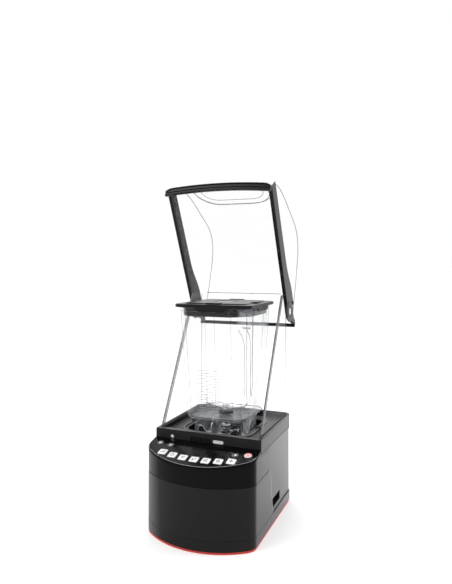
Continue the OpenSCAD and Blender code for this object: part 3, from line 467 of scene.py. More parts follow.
def ringTree():
    # Count units turned about the vertical axis through the origin
    tree, ids, entry, leave = newTree("ringOfUnits", [
        ("Unit", "Object"), ("Count", "Int"), ("Turn", "Float"), ("Finish", "Material")])
    line = tree.nodes.new("GeometryNodeMeshLine")
    line.inputs["Offset"].default_value = (0, 0, 0)
    unit = tree.nodes.new("GeometryNodeObjectInfo")
    spread = tree.nodes.new("GeometryNodeInstanceOnPoints")
    index = tree.nodes.new("GeometryNodeInputIndex")
    angle = tree.nodes.new("ShaderNodeMath")
    angle.operation = "MULTIPLY"
    axis = tree.nodes.new("ShaderNodeCombineXYZ")
    tree.links.new(entry.outputs["Count"], line.inputs["Count"])
    tree.links.new(entry.outputs["Unit"], unit.inputs["Object"])
    tree.links.new(index.outputs[0], angle.inputs[0])
    tree.links.new(entry.outputs["Turn"], angle.inputs[1])
    tree.links.new(angle.outputs[0], axis.inputs["Z"])
    tree.links.new(axis.outputs[0], spread.inputs["Rotation"])
    tree.links.new(line.outputs[0], spread.inputs["Points"])
    tree.links.new(unit.outputs["Geometry"], spread.inputs["Instance"])
    closeTree(tree, entry, leave, spread.outputs[0])
    return tree, ids


def pathTree():
    # A round rod of Radius along the lines of the host mesh
    tree, ids, entry, leave = newTree("rodAlongPath",
                                      [("Radius", "Float"), ("Sides", "Int"), ("Finish", "Material")])
    line = tree.nodes.new("GeometryNodeMeshToCurve")
    circle = tree.nodes.new("GeometryNodeCurvePrimitiveCircle")
    rod = tree.nodes.new("GeometryNodeCurveToMesh")
    rod.inputs["Fill Caps"].default_value = True
    tree.links.new(entry.outputs["Geometry"], line.inputs[0])
    tree.links.new(entry.outputs["Radius"], circle.inputs["Radius"])
    tree.links.new(entry.outputs["Sides"], circle.inputs["Resolution"])
    tree.links.new(line.outputs[0], rod.inputs["Curve"])
    tree.links.new(circle.outputs[0], rod.inputs["Profile Curve"])
    closeTree(tree, entry, leave, rod.outputs[0])
    return tree, ids


trees = {"row": rowTree(), "ring": ringTree(), "path": pathTree()}


def grow(name, kind, finish, unit=None, line=None, loop=False, **settings):
    # Runs one of the trees and keeps its result as a plain mesh
    mesh = bpy.data.meshes.new(name)
    if line:
        edges = [(i, i + 1) for i in range(len(line) - 1)] + ([(len(line) - 1, 0)] if loop else [])
        mesh.from_pydata([[c * mm for c in p] for p in line], edges, [])
    piece = bpy.data.objects.new(name, mesh)
    bpy.context.scene.collection.objects.link(piece)
    tree, ids = trees[kind]
    growth = piece.modifiers.new(kind, "NODES")
    growth.node_group = tree
    if unit:
        growth[ids["Unit"]] = unit
    for label, value in settings.items():
        growth[ids[label]] = value
    growth[ids["Finish"]] = finish
    bake(piece)
    if unit:
        bpy.data.objects.remove(unit)
    work = bmesh.new()
    work.from_mesh(piece.data)
    bmesh.ops.recalc_face_normals(work, faces=work.faces)
    work.to_mesh(piece.data)
    work.free()
    sharpen(piece.data)
    return piece


def slab(name, outline, low, high, finish, edge=0.0, segments=2):
    # An outline in X and Y with a thickness, with softened edges
    piece = loft(name, [at(outline, low), at(outline, high)], finish)
    return bevelled(piece, edge, segments) if edge else piece


def brick(name, low, high, finish, edge=0.0):
    outline = [(low[0], low[1]), (high[0], low[1]), (high[0], high[1]), (low[0], high[1])]
    return slab(name, outline, low[2], high[2], finish, edge)


def wire(name, points, radius, finish, steps=8, sides=12):
    return grow(name, "path", finish, line=spline(points, steps), Radius=radius * mm, Sides=sides)


# Floor and light
floorLook = {"reach": 60, "tone": 0.93, "glow": 0.16, "sky": 1.0, "key": 14, "side": 9, "rear": 8}
floor = newPiece("studioFloor", [(-1, -1, 0), (1, -1, 0), (1, 1, 0), (-1, 1, 0)], [(0, 1, 2, 3)],
                 makeFinish("paleFloor", (floorLook["tone"],) * 3, vary=0.01, patch=2, rough=(0.7, 0.8),
                            grain=40, depth=0.0, specular=0.1, glow=floorLook["glow"]),
                 scale=floorLook["reach"])
world = bpy.data.worlds.new("softStudio")
world.use_nodes = True
world.node_tree.nodes["Background"].inputs["Color"].default_value = (1, 1, 1, 1)
world.node_tree.nodes["Background"].inputs["Strength"].default_value = floorLook["sky"]
bpy.context.scene.world = world
bpy.context.scene.view_settings.view_transform = "Standard"
bpy.context.scene.cycles.transparent_max_bounces = 48  # many clear walls stand one behind the other


def softLamp(name, place, aim, size, power):
    data = bpy.data.lights.new(name, "AREA")
    data.shape = "RECTANGLE"
    data.size, data.size_y = size
    data.energy = power
    lamp = bpy.data.objects.new(name, data)
    lamp.location = place
    lamp.rotation_euler = (Vector(aim) - Vector(place)).to_track_quat("-Z", "Y").to_euler()
    bpy.context.scene.collection.objects.link(lamp)


softLamp("keyLamp", (-1.1, -1.3, 1.7), (0, 0, 0.2), (1.0, 1.0), floorLook["key"])
softLamp("sideLamp", (1.6, 0.5, 0.9), (0, 0, 0.15), (0.5, 1.4), floorLook["side"])
softLamp("rearLamp", (-0.4, 1.5, 1.5), (0, 0, 0.3), (1.6, 0.6), floorLook["rear"])
print("stage set")

# Base
base = {"width": 203, "front": 124, "bow": 40, "cornerR": 25, "tilt": 12.8, "panelBack": 92}
panelZ = 158.0
bowR = (base["width"] ** 2 / 4 + base["bow"] ** 2) / (2 * base["bow"])
bowY = bowR - base["front"] - base["bow"]
cornerX = base["width"] / 2 - base["cornerR"]
cornerY = bowY - math.sqrt((bowR - base["cornerR"]) ** 2 - cornerX ** 2)
cornerA = math.degrees(math.atan2(cornerY - bowY, cornerX))
slope = math.tan(math.radians(base["tilt"]))


def frontLine(inset, n=40):
    # The front outline from the left corner round to the right one
    return (arc(-cornerX, cornerY, base["cornerR"] - inset, 180, 180 - cornerA, 10)
            + arc(0, bowY, bowR - inset, 180 - cornerA, 360 + cornerA, n)[1:]
            + arc(cornerX, cornerY, base["cornerR"] - inset, 360 + cornerA, 360, 10)[1:])


def panelTop(y):
    return panelZ + (y + base["panelBack"]) * slope


plainPieces = {  # node: (body, finish, slot, edge radius)
    "foot_pad": ("base", siliconeRed, "silicone_red", 0.8),
    "floor_tray": ("base", satinBlack, "shell_black", 0.6),
    "rear_housing": ("base", satinBlack, "shell_black", 0.0),
    "shoulder_plate": ("base", satinBlack, "shell_black", 0.6),
    "front_cover": ("base", satinBlack, "shell_black", 0.8),
    "upper_band": ("base", pianoBlack, "gloss_black", 0.7),
    "control_panel": ("base", panelBlack, "gloss_black", 0.7),
    "display_window": ("base", displayDark, "display_dark", 0.3),
    "enclosure_lugs": ("base", frameBlack, "shell_black", 1.2),
    "grip_cups": ("base", glandRubber, "shell_black", 0.8),
    "air_duct": ("base", motorBlack, "motor_black", 0.6),
    "base_screws": ("base", screwSteel, "screw_steel", 0.4),
    "cord_gland": ("base", glandRubber, "gland_rubber", 0.8),
    "switch_bezel": ("base", frameBlack, "shell_black", 0.6),
    "switch_rocker": ("power_switch", keyDark, "key_dark", 0.5),
    "drive_plate": ("motor", chrome, "plate_chrome", 1.1),
    "motor_housing": ("motor", motorBlack, "motor_black", 0.8),
    "brass_contacts": ("motor", contactBrass, "contact_brass", 0.4),
    "through_bolts": ("motor", screwSteel, "screw_steel", 0.5),
    "motor_bearings": ("motor", screwSteel, "screw_steel", 0.4),
    "rotor_shaft": ("rotor", screwSteel, "screw_steel", 0.5),
    "armature_core": ("rotor", stackedSteel, "stator_steel", 0.4),
    "commutator": ("rotor", enamelCopper, "winding_copper", 0.15),
    "cooling_fan": ("rotor", motorBlack, "motor_black", 0.4),
    "drive_ball": ("rotor", chrome, "plate_chrome", 0.5),
    "bearing_housing": ("jar", lidRubber, "motor_black", 0.6),
    "blade_bearings": ("jar", screwSteel, "screw_steel", 0.4),
    "enclosure_frame": ("enclosure", frameBlack, "frame_black", 1.2),
    "frame_seal": ("enclosure", bandRubber, "band_rubber", 0.5),
    "hinge_pins": ("enclosure", trimSilver, "screw_steel", 0.6),
}
for node, (body, finish, slot, edge) in plainPieces.items():
    piece = copyOf(node, node + "_soft", finish, flatten=edge > 0)
    settle(bevelled(piece, edge, 2) if edge else piece, body, slot, node)
print("plain pieces made")

# Bright strip along the panel's front edge
trim = {"inset": 1.0, "radius": 0.22, "frontOf": -100}
trimLine = [(x, y, panelTop(y)) for x, y in frontLine(trim["inset"], 60) if y < trim["frontOf"]]
settle(grow("panel_trim", "path", trimSilver, line=trimLine, Radius=trim["radius"] * mm, Sides=8), "base",
       "screw_steel")

# Painted highlight down the seam between the front cover and the rear housing: thin pale grey rods stand in for
# the light on its edge
seam = {"topY": -48.9, "topZ": 149, "heights": (24, 66, 107), "lean": 0.2, "radius": 0.6,
        "x": base["width"] / 2 - 0.25}
seamHighlights = []
for side in (-1, 1):
    seamLine = [(side * seam["x"], seam["topY"] + (seam["topZ"] - z) * seam["lean"],
                 z) for z in seam["heights"]]
    seamHighlights.append(grow("seamRod", "path", seamGrey, line=seamLine, Radius=seam["radius"] * mm, Sides=8))
settle(joined("seam_edges", seamHighlights), "base", "shell_black")

# Deck: dark lip round its top, two ridges round the pocket, ribs on its front wall
deckLook = {"width": 182, "front": -80, "back": 90, "top": 165, "lip": 3.2, "lipHeight": 1.4, "pocket": 119.5,
            "pocketR": 22.75,
            "padR": 6.2, "padTop": 3.2, "outerRidge": 9.2, "innerRidge": 1.8, "glint": 0.55, "ribs": 16,
            "ribStep": 3.6}


def ridge(name, outline, low, height, width, finish):
    # A low rounded ridge standing on a flat face along an outline, inset by its width
    def ring(inset, z):
        return at(outline(inset), z)
    return loft(name, [ring(0, low), ring(0, low + height * 0.6), ring(width * 0.25, low + height),
                       ring(width * 0.75, low + height), ring(width, low + height * 0.6), ring(width, low)],
                finish, closed=True)


def deckOutline(inset):
    w = deckLook["width"] - 2 * inset
    d = deckLook["back"] - deckLook["front"] - 2 * inset
    middle = (deckLook["back"] + deckLook["front"]) / 2
    return [(x, y + middle) for x, y in roundRect(w, d, max(2.5 - inset * 0.3, 0.6), 4)]


def pocketOutline(out):
    def outline(inset):
        side = deckLook["pocket"] + 2 * (out - inset)
        return roundRect(side, side, deckLook["pocketR"] + out - inset, 12)
    return outline


deckTop = deckLook["top"]
deckPiece = bevelled(copyOf("deck", "deck_soft", deckGrey), 0.9, 2)
# Faces down in the pocket get the near-black finish: painted shade in the recess
deckPiece.data.materials.append(pocketBlack)
for face in deckPiece.data.polygons:
    inside = max(abs(face.center.x), abs(face.center.y)) < (deckLook["pocket"] / 2 + 0.5) * mm
    if inside and face.center.z < (deckTop - 0.4) * mm:
        face.material_index = 1
settle(deckPiece, "base", "deck_grey", "deck")
pads = []
for turn in (0, 90, 180, 270):
    middle = deckLook["pocket"] / 2 + deckLook["padR"] + 0.2
    pad = slab("screwPad", arc(middle, 0, deckLook["padR"], 0, 345, 23), deckTop + 0.3,
               deckTop + deckLook["padTop"], pocketBlack, 0.6)
    pads.append(turned(pad, Matrix.Rotation(math.radians(turn), 4, "Z")))
settle(joined("deck_pads", pads), "base", "shell_black")
lip = ridge("deckLipRing", deckOutline, deckTop - 0.3, deckLook["lipHeight"] + 0.3, deckLook["lip"], frameBlack)
# The two ridges are lighter grey than the deck: a painted highlight along their tops
outerRidge = ridge("outerRidge", pocketOutline(deckLook["outerRidge"]), deckTop + 1.3, 1.5, 2.2, ridgeGrey)
innerRidge = ridge("innerRidge", pocketOutline(deckLook["innerRidge"]), deckTop + 0.3, 1.4, 1.4, ridgeGrey)
settle(joined("deck_ridges", [lip, outerRidge, innerRidge]), "base", "deck_grey")
# A thin bright metal rod along the deck's front edge: a painted highlight
glintLine = [(-48, -79.9, deckTop + 0.9), (0, -80.1, deckTop + 0.9), (66, -79.9, deckTop + 0.9)]
settle(grow("deck_glint", "path", trimSilver, line=glintLine, Radius=deckLook["glint"] * mm, Sides=8), "base",
       "screw_steel")
rib = brick("ribUnit", (-1, -0.7, 0), (1, 0.5, 6.5), frameBlack, 0.3)
settle(grow("deck_ribs", "row", frameBlack, unit=rib, Count=deckLook["ribs"],
            Start=(-86 * mm, deckLook["front"] * mm, 157.5 * mm),
            Step=(deckLook["ribStep"] * mm, 0, 0)), "base", "shell_black")

# Circuit boards with their parts, and the mint lead
boards = {"x": 56.0, "chipHigh": 2.2, "half": (4, 3),
          "chips": [(-40, 60), (-20, 95), (5, 70), (22, 100), (30, 40), (-34, 30)]}
boardParts = [copyOf("circuit_boards", "boardsCopy", boardGreen)]
halfY, halfZ = boards["half"]
for i, (y, z) in enumerate(boards["chips"]):
    boardParts.append(brick(f"chip{i}", (-boards["x"], y - halfY, z - halfZ),
                            (boards["chipHigh"] - boards["x"], y + halfY, z + halfZ), motorBlack, 0.3))
settle(joined("circuit_boards_parts", boardParts), "base", "board_green", "circuit_boards")
mintLead = {"radius": 3.1, "through": [(-50, -42, 9), (-50, -42, 60), (-49, -41, 92), (-44, -38, 110),
                                       (-34, -33, 117), (-26, -30, 122)]}
mint = wire("earth_lead_soft", mintLead["through"], mintLead["radius"], leadMint)
settle(mint, "base", "lead_mint", "earth_lead")
print("base dressed")

# Keys
keyLook = {"pitch": 21.3, "rowY": 144, "rowR": 230, "side": 14.5, "round": 6.5, "travel": 0.8, "thick": 4.0}


def onPanel(x, ahead):
    turn = Matrix.Rotation(math.radians(base["tilt"]), 4, "X")
    return Matrix.Translation(Vector((x, -ahead, panelTop(-ahead))) * mm) @ turn


def keyAhead(x):
    return keyLook["rowY"] - keyLook["rowR"] + math.sqrt(keyLook["rowR"] ** 2 - x * x)


def bar(x0, y0, x1, y1):
    top = keyLook["travel"]
    return brick("mark", (x0, y0, top - 0.06), (x1, y1, top + 0.06), iconInk)


def disc(x, y, r, finish, low=None, high=None):
    top = keyLook["travel"]
    outline = [(x + p[0], y + p[1]) for p in arc(0, 0, r, 0, 352, 44)]
    return slab("mark", outline, top - 0.06 if low is None else low, top + 0.07 if high is None else high,
                finish)


def hoop(x, y, r, width, finish, lift=0.08):
    top = keyLook["travel"]
    rings = [[(x + p[0], y + p[1], z) for p in arc(0, 0, q, 0, 352, 44)]
             for q, z in ((r, top - 0.06), (r, top + lift), (r - width, top + lift), (r - width, top - 0.06))]
    return loft("mark", rings, finish, closed=True)


icons = {
    1: lambda: [bar(-4, -3, -2.4, 0), bar(-0.8, -3, 0.8, 1.5), bar(2.4, -3, 4, 3.4)],
    2: lambda: [hoop(0, 0, 3.6, 1.1, iconInk), bar(-0.5, 1.5, 0.5, 4.4)],
    3: lambda: [bar(-3.8, 2, 3.8, 3.2), bar(-3, -0.6, 3, 0.6), bar(-2, -3.2, 2, -2)],
    4: lambda: [disc(-2, -1, 2.0, iconInk), disc(2.2, 1.2, 1.5, iconInk)],
    5: lambda: [bar(-3.6, -3.6, -2.2, 3.6), bar(-1.2, -3.6, 3.6, -2.4), bar(-1.2, -0.6, 3.6, 0.6),
                bar(-1.2, 2.4, 3.6, 3.6)],
    6: lambda: [hoop(0, -0.6, 3.4, 1.0, iconInk), disc(0, -0.6, 1.2, iconInk), bar(-0.5, 3.0, 0.5, 4.4)],
    7: lambda: [bar(-3.8, -0.7, 3.8, 0.7), bar(-0.7, -3.8, 0.7, -0.9), bar(-0.7, 0.9, 0.7, 3.8)],
}
for number in range(1, 8):
    x = (number - 4) * keyLook["pitch"]
    side = keyLook["side"]
    rings = [at(roundRect(side, side, 1.5, 4), -keyLook["thick"]), at(roundRect(side, side, 1.5, 4), 0.1),
             at(roundRect(side - 0.5, side - 0.5, 1.5, 4), 0.55),
             at(roundRect(side - 1.4, side - 1.4, 1.4, 4), keyLook["travel"])]
    cap = joined(f"key_{number}_cap", [loft("cap", rings, keyLit, angle=50)] + icons[number]())
    settle(turned(cap, onPanel(x, keyAhead(x))), f"touch_{number}", "key_white", f"key_{number}")

roundKeys = {  # name: (x, ahead of the axis, face, ring)
    "slower": (-82, 110, keyDark, markGrey), "faster": (-60, 113, keyDark, markGrey),
    "pulse": (64, 117, keyDark, markGrey), "stop": (85, 112, keyLit, keyRed)}
for label, (x, ahead, face, ringFinish) in roundKeys.items():
    r = keyLook["round"]
    rings = [at(arc(0, 0, q, 0, 354, 59), z) for q, z in
             ((r, -keyLook["thick"]), (r, 0.2), (r - 0.35, 0.65), (r - 0.9, keyLook["travel"]))]
    parts = [loft("cap", rings, face, angle=50),
             hoop(0, 0, r - 0.9, 1.3 if label == "stop" else 0.8, ringFinish)]
    if label in ("slower", "faster"):
        parts.append(disc(0, 0, 2.9, keyLit))
        parts.append(bar(-2.2, -0.5, 2.2, 0.5) if label == "slower" else hoop(0, 0, 2.2, 0.8, iconInk, 0.1))
        parts[-1].data.transform(Matrix.Translation((0, 0, 0.08 * mm)))
    elif label == "pulse":
        parts.append(disc(0.6, 0, 2.2, keyLit))
    else:
        parts.append(disc(0, 0, 2.2, keyRed))
    cap = joined(f"key_{label}_cap", parts)
    settle(turned(cap, onPanel(x, ahead)), f"touch_{label}", "key_red" if label == "stop" else "key_dark",
           f"key_{label}")
print("keys made")

# Motor unit
motor = {"plate": 112, "plateR": 19, "gasketLow": 132, "gasketHigh": 140, "statorW": 74, "statorD": 62,
         "statorLow": 68, "statorHigh": 111, "statorCut": 6, "bore": 21.6, "sheet": 1.0}


def plateRing(out, z, inner=False):
    side = (101 if inner else motor["plate"]) + 2 * out
    return at(roundRect(side, side, (17 if inner else motor["plateR"]) + out, 12), z)


low, high = motor["gasketLow"], motor["gasketHigh"]
gasket = loft("plate_gasket_soft", [
    plateRing(0.3, high), plateRing(0.9, high - 0.6), plateRing(1.5, high - 3), plateRing(2.3, high - 5.6),
    plateRing(2.5, high - 6.8), plateRing(2.2, low + 0.5), plateRing(1.2, low), plateRing(0.3, low, True),
    plateRing(0, low + 0.4, True), plateRing(0, high, True)], siliconeRed, closed=True, angle=60)
settle(gasket, "motor", "silicone_red", "plate_gasket")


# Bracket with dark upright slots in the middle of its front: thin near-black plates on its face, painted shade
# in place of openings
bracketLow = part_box("motor_bracket")[0]
bracketSlots = {"half": 1.3, "high": 21, "count": 5, "step": 5, "up": 4}
slotUnit = brick("slotUnit", (-bracketSlots["half"], -0.12, 0),
                 (bracketSlots["half"], 0.3, bracketSlots["high"]), pocketBlack, 0.1)
firstSlot = -bracketSlots["step"] * (bracketSlots["count"] - 1) / 2
slots = grow("bracketSlots", "row", pocketBlack, unit=slotUnit, Count=bracketSlots["count"],
             Start=(firstSlot * mm, bracketLow[1], bracketLow[2] + bracketSlots["up"] * mm),
             Step=(bracketSlots["step"] * mm, 0, 0))
bracket = bevelled(copyOf("motor_bracket", "bracketCopy", castAluminium), 0.8, 2)
settle(joined("motor_bracket_slotted", [bracket, slots]), "motor", "bracket_aluminium", "motor_bracket")


def cutCorners(w, d, c):
    x, y = w / 2, d / 2
    return [(x, y - c), (x - c, y), (c - x, y), (-x, y - c), (-x, c - y), (c - x, -y), (x - c, -y), (x, c - y)]


# Stack of stator sheets, each with its bore
boreLine = arc(0, 0, motor["bore"], 0, 354.375, 63)
rim = evenly(cutCorners(motor["statorW"], motor["statorD"], motor["statorCut"]) + [(37, 25)], 64)[:64]
rim.sort(key=lambda p: math.atan2(p[1], p[0]) % (2 * math.pi))
sheetRings = [at(rim, 0), at(rim, motor["sheet"] * 0.86), at(boreLine, motor["sheet"] * 0.86), at(boreLine, 0)]
sheet = loft("sheetUnit", sheetRings, stackedSteel, closed=True)
sheetCount = int((motor["statorHigh"] - motor["statorLow"]) / motor["sheet"])
stack = grow("stator_sheets", "row", stackedSteel, unit=sheet, Count=sheetCount,
             Start=(0, 0, (motor["statorLow"] + 0.07) * mm), Step=(0, 0, motor["sheet"] * mm))
settle(stack, "motor", "stator_steel", "stator_core")

# Field windings: turns of enamelled wire round each pole
winding = {"y": 19, "layers": 4, "out": 17.9, "layerStep": 1.75, "high": 46, "highStep": 3.2, "middleZ": 89.5,
           "pitch": 2.3, "wire": 0.95}
turns = []
for side in (-1, 1):
    y = side * winding["y"]
    for layer in range(winding["layers"]):
        out = winding["out"] + layer * winding["layerStep"]
        flat = roundRect(2 * out, winding["high"] + layer * winding["highStep"], 4, 4)
        line = [(px, y, winding["middleZ"] + py) for px, py in flat]
        for off in (-winding["pitch"], 0, winding["pitch"]):
            turns.append(grow("turn", "path", enamelCopper, line=[(a, b + off, c) for a, b, c in line],
                              loop=True, Radius=winding["wire"] * mm, Sides=6))
settle(joined("field_windings", turns), "motor", "winding_copper", "field_coils")

# Round end cap with ribs, and the wires that show beside the housing
capBody = bevelled(copyOf("end_cap", "capCopy", motorBlack), 0.5, 2)
endCap = {"ribFrom": 28.2, "ribTo": 29.4, "ribLow": 14, "ribHigh": 31.5, "ribHalf": 0.6, "ribs": 10}
capRib = brick("capRibUnit", (endCap["ribFrom"], -endCap["ribHalf"], endCap["ribLow"]),
               (endCap["ribTo"], endCap["ribHalf"], endCap["ribHigh"]), motorBlack, 0.25)
capRibs = grow("capRibs", "ring", motorBlack, unit=capRib, Count=endCap["ribs"],
               Turn=2 * math.pi / endCap["ribs"])
settle(joined("end_cap_ribbed", [capBody, capRibs]), "motor", "motor_black", "end_cap")
leads = [
    wire("leadA", [(39, -21, 50), (41.5, -23, 47), (41, -20, 42), (38.6, -12, 43), (38.2, -6, 46)], 0.8,
         wireYellow),
    wire("leadC", [(30, -34, 132), (36, -37, 127), (40, -31, 122), (39.5, -22, 116), (38.2, -20, 108)], 0.9,
         siliconeRed),
    wire("leadD", [(24, -34, 130), (36, -35, 128), (41, -26, 123), (41, -14, 119), (38.5, -8, 114)], 1.2,
         motorBlack),
    wire("leadE", [(20, -34, 131), (33, -36, 129), (40, -28, 120), (39.6, -18, 112), (38.4, -12, 105)], 1.0,
         motorBlack),
]
settle(joined("motor_leads", leads), "motor", "contact_brass")
print("motor dressed")

# Jar
jar = {"low": 150, "floorUnder": 184, "floor": 190, "rim": 395, "skirt": 98, "skirtWall": 3.5, "lowWidth": 119,
       "topWidth": 142, "wall": 3.5, "cornerTop": 76, "cornerLow": 68, "cut": 1.26, "hubR": 9.1}


def upJar(z):
    return (z - jar["floor"]) / (jar["rim"] - jar["floor"])


def jarHalf(z):
    return (jar["lowWidth"] + (jar["topWidth"] - jar["lowWidth"]) * upJar(z)) / 2


def jarCorner(z):
    return jar["cornerLow"] + (jar["cornerTop"] - jar["cornerLow"]) * upJar(z)


def jarOutline(half, far, r):
    # Square with its corners cut; the corner towards +X -Y is cut at its own distance
    plain = half * jar["cut"] * math.sqrt(2) - half
    handle = far * math.sqrt(2) - half
    return filleted([(half, -handle), (half, plain), (plain, half), (-plain, half), (-half, plain),
                     (-half, -plain), (-plain, -half), (handle, -half)], r)


def jarRing(z, inset, r=9.0):
    return at(jarOutline(jarHalf(z) - inset, jarCorner(z) - inset, r), z)


def skirtRing(z, inset):
    half = jar["skirt"] / 2 - inset
    return at(jarOutline(half, half * jar["cut"], 8.0 - inset), z)


def hubRing(z):
    # A circle whose points sit opposite the outline's own
    return [(jar["hubR"] * p[0] / math.hypot(p[0], p[1]), jar["hubR"] * p[1] / math.hypot(p[0], p[1]), z)
            for p in jarRing(jar["floor"], jar["wall"])]


top, wall = jar["rim"], jar["wall"]
jarShell = loft("jar_shell", [
    skirtRing(jar["low"], 0.4), skirtRing(jar["low"] + 0.8, 0), skirtRing(jar["floorUnder"], 0),
    jarRing(jar["floor"], 0.6, 10), jarRing(jar["floor"] + 2, 0, 9), jarRing(250, 0), jarRing(320, 0),
    jarRing(top - 8, 0), jarRing(top - 6.5, -1.0), jarRing(top - 1.2, -1.2), jarRing(top, -0.3),
    jarRing(top, 1.8), jarRing(top - 1.2, 2.9), jarRing(top - 9, wall), jarRing(320, wall), jarRing(250, wall),
    jarRing(jar["floor"] + 5, wall), jarRing(jar["floor"] + 1, wall + 2), jarRing(jar["floor"], wall + 6),
    hubRing(jar["floor"]), hubRing(jar["floorUnder"]),
    skirtRing(jar["floorUnder"], jar["skirtWall"] + 3), skirtRing(jar["floorUnder"] - 3, jar["skirtWall"]),
    skirtRing(jar["low"] + 0.8, jar["skirtWall"]),
    skirtRing(jar["low"], jar["skirtWall"] - 0.4)], jarClear, closed=True)
settle(jarShell, "jar", "jar_clear", "jar_body", "jar_skirt")

# Handle on the cut corner: a deep arm at the rim and a grip that hangs from it
handle = {"reach": 107, "grip": 11, "armHeight": 48, "drop": 156, "outer": 13.4, "inner": 20.0}
diagonal = Matrix.Rotation(math.radians(-45), 4, "Z")


def handleSlice(outR, inR, z, wide=0.0):
    # One level of the handle: wider towards the jar than outside
    reach = handle["reach"]

    def halfAt(r):
        share = min(max((reach - r) / 14, 0), 1)
        return (handle["outer"] + (handle["inner"] - handle["outer"]) * share) / 2 + wide
    outline = filleted([(inR, -halfAt(inR)), (outR, -halfAt(outR)), (outR, halfAt(outR)), (inR, halfAt(inR))],
                       3.0, 4)
    return at(outline, z)


reach, grip = handle["reach"], handle["grip"]
handleTop, handleLow = top - 0.6, top - handle["drop"]
armLow = top - handle["armHeight"]
gripPiece = loft("gripPart", [
    handleSlice(reach - 4.5, reach - grip + 1, handleLow),
    handleSlice(reach - 3.6, reach - grip, handleLow + 2),
    handleSlice(reach - 1.4, reach - grip, handleLow + 22),
    handleSlice(reach - 0.2, reach - grip, handleLow + 60),
    handleSlice(reach, reach - grip, armLow - 14), handleSlice(reach, reach - grip - 6, armLow - 4),
    handleSlice(reach, reach - grip - 13, armLow + 2, 0.6),
    handleSlice(reach, jarCorner(armLow) + 0.2, armLow + 8, 1.0),
    handleSlice(reach, jarCorner(armLow) + 0.6, armLow + 26, 1.0),
    handleSlice(reach, jarCorner(handleTop) + 0.2, handleTop - 8, 0.6),
    handleSlice(reach - 2.2, jarCorner(handleTop) + 0.2, handleTop - 2, 0),
    handleSlice(reach - 5, jarCorner(handleTop) + 0.2, handleTop, -0.8)], handleClear)
hollowCup = loft("cupPart", [
    handleSlice(reach - 5, reach - 22, armLow + 12, -3.0),
    handleSlice(reach - 4, reach - 25, armLow + 20, -2.4),
    handleSlice(reach - 4, reach - 27, handleTop - 6, -2.2)], handleClear)
settle(turned(joined("jar_grip", [gripPiece, hollowCup]), diagonal), "jar", "jar_clear", "jar_handle")

# Painted shade: darker rods where the clear walls turn or end, sunk in the walls
edges = {"sink": 0.7, "corner": 0.38, "rim": 0.7, "floor": 0.8, "hubR": 13,
         "heights": (192, 225, 260, 300, 340, 370, 386)}


# A dark rod sunk in a clear wall: painted shade along an edge
def edgeRod(line, radius, finish=None, loop=False):
    return grow("edgeRod", "path", finish or edgeClear, line=line, loop=loop, Radius=radius * mm, Sides=8)


jarShadeRods = []
skirtSpan = (jar["low"] + 1.5, jar["floorUnder"] - 1)
perCorner = len(jarRing(top, 0)) // 8
for corner in range(8):
    index = corner * perCorner + perCorner // 2
    jarShadeRods.append(edgeRod([jarRing(z, edges["sink"])[index] for z in edges["heights"]], edges["corner"]))
    jarShadeRods.append(edgeRod([skirtRing(z, edges["sink"])[index] for z in skirtSpan], edges["corner"]))
for line, radius in ((jarRing(top - 0.8, 0.3), edges["rim"]), (jarRing(top - 2.2, 2.2), 0.35),
                     (jarRing(top - 7.6, 0.6), 0.35),
                     (jarRing(jar["floor"] + 1.2, 1.6, 9.5), edges["floor"]),
                     (jarRing(jar["floorUnder"] + 3, 4.5, 10), 0.5),
                     (skirtRing(jar["low"] + 1.2, 0.9), 0.6), (skirtRing(jar["floorUnder"] - 1, 1.2), 0.6),
                     (skirtRing(jar["low"] + 1.2, 2.4), 0.4)):
    jarShadeRods.append(edgeRod(line, radius, loop=True))
hubLoop = at(arc(0, 0, edges["hubR"], 0, 350, 35), jar["floor"] - 1.5)
jarShadeRods.append(edgeRod(hubLoop, edges["sink"], loop=True))
settle(joined("jar_edge_lines", jarShadeRods), "jar", "jar_clear")

# The same painted shade along the handle, with the big loop at its top
gripShadeRods = []
for side in (-1, 1):
    out = side * (handle["outer"] / 2 - 1.1)
    gripShadeRods.append(edgeRod([(reach - 4.2, out * 0.9, handleLow + 1.5), (reach - 1.4, out, handleLow + 30),
                              (reach - 0.9, out, armLow - 14),
                              (reach - 0.9, out, armLow + 20), (reach - 1.6, out, handleTop - 6),
                              (reach - 6, out, handleTop - 1.2)], 0.6))
    inner = side * (handle["outer"] / 2 + 0.4)
    gripShadeRods.append(edgeRod([(reach - grip + 1.4, out, handleLow + 2.6),
                              (reach - grip + 0.9, out, armLow - 16),
                              (reach - grip - 5, inner, armLow - 2),
                              (reach - grip - 12, inner * 1.1, armLow + 4),
                              (jarCorner(armLow) + 2.5, inner * 1.2, armLow + 9)], 0.6))
    gripShadeRods.append(edgeRod([(jarCorner(handleTop) + 2, inner * 1.25, handleTop - 1.8),
                              (reach - 16, inner * 1.1, handleTop - 1.6),
                              (reach - 6, out, handleTop - 1.2)], 0.5))
cup = [(reach - 5.2, 0), (reach - 7, 4.6), (reach - 14, 5.8), (reach - 24, 6.0), (reach - 24, -6.0),
       (reach - 14, -5.8), (reach - 7, -4.6)]
for z, share, radius in ((handleTop - 1.6, 1.0, 0.6), (armLow + 14, 0.86, 0.6)):
    gripShadeRods.append(edgeRod([(reach - 14 + (x - reach + 14) * share, y * share, z) for x, y in cup], radius,
                             loop=True))
settle(turned(joined("jar_grip_lines", gripShadeRods), diagonal), "jar", "jar_clear")

# Measuring marks on two faces, a row of dots on the cut corner, and numerals
marks = {"low": 196, "step": 4.9, "count": 18, "left": -29.5, "right": 13.5, "proud": 0.12, "tickStep": 20.4,
         "tickUp": 9.8,
         "sideLow": 205, "sideStep": 5.2, "sideCount": 15, "sideTilt": 14, "dotLow": 194, "dotStep": 3,
         "dots": 16, "numerals": 9}


def faceY(z):
    return -jarHalf(z)


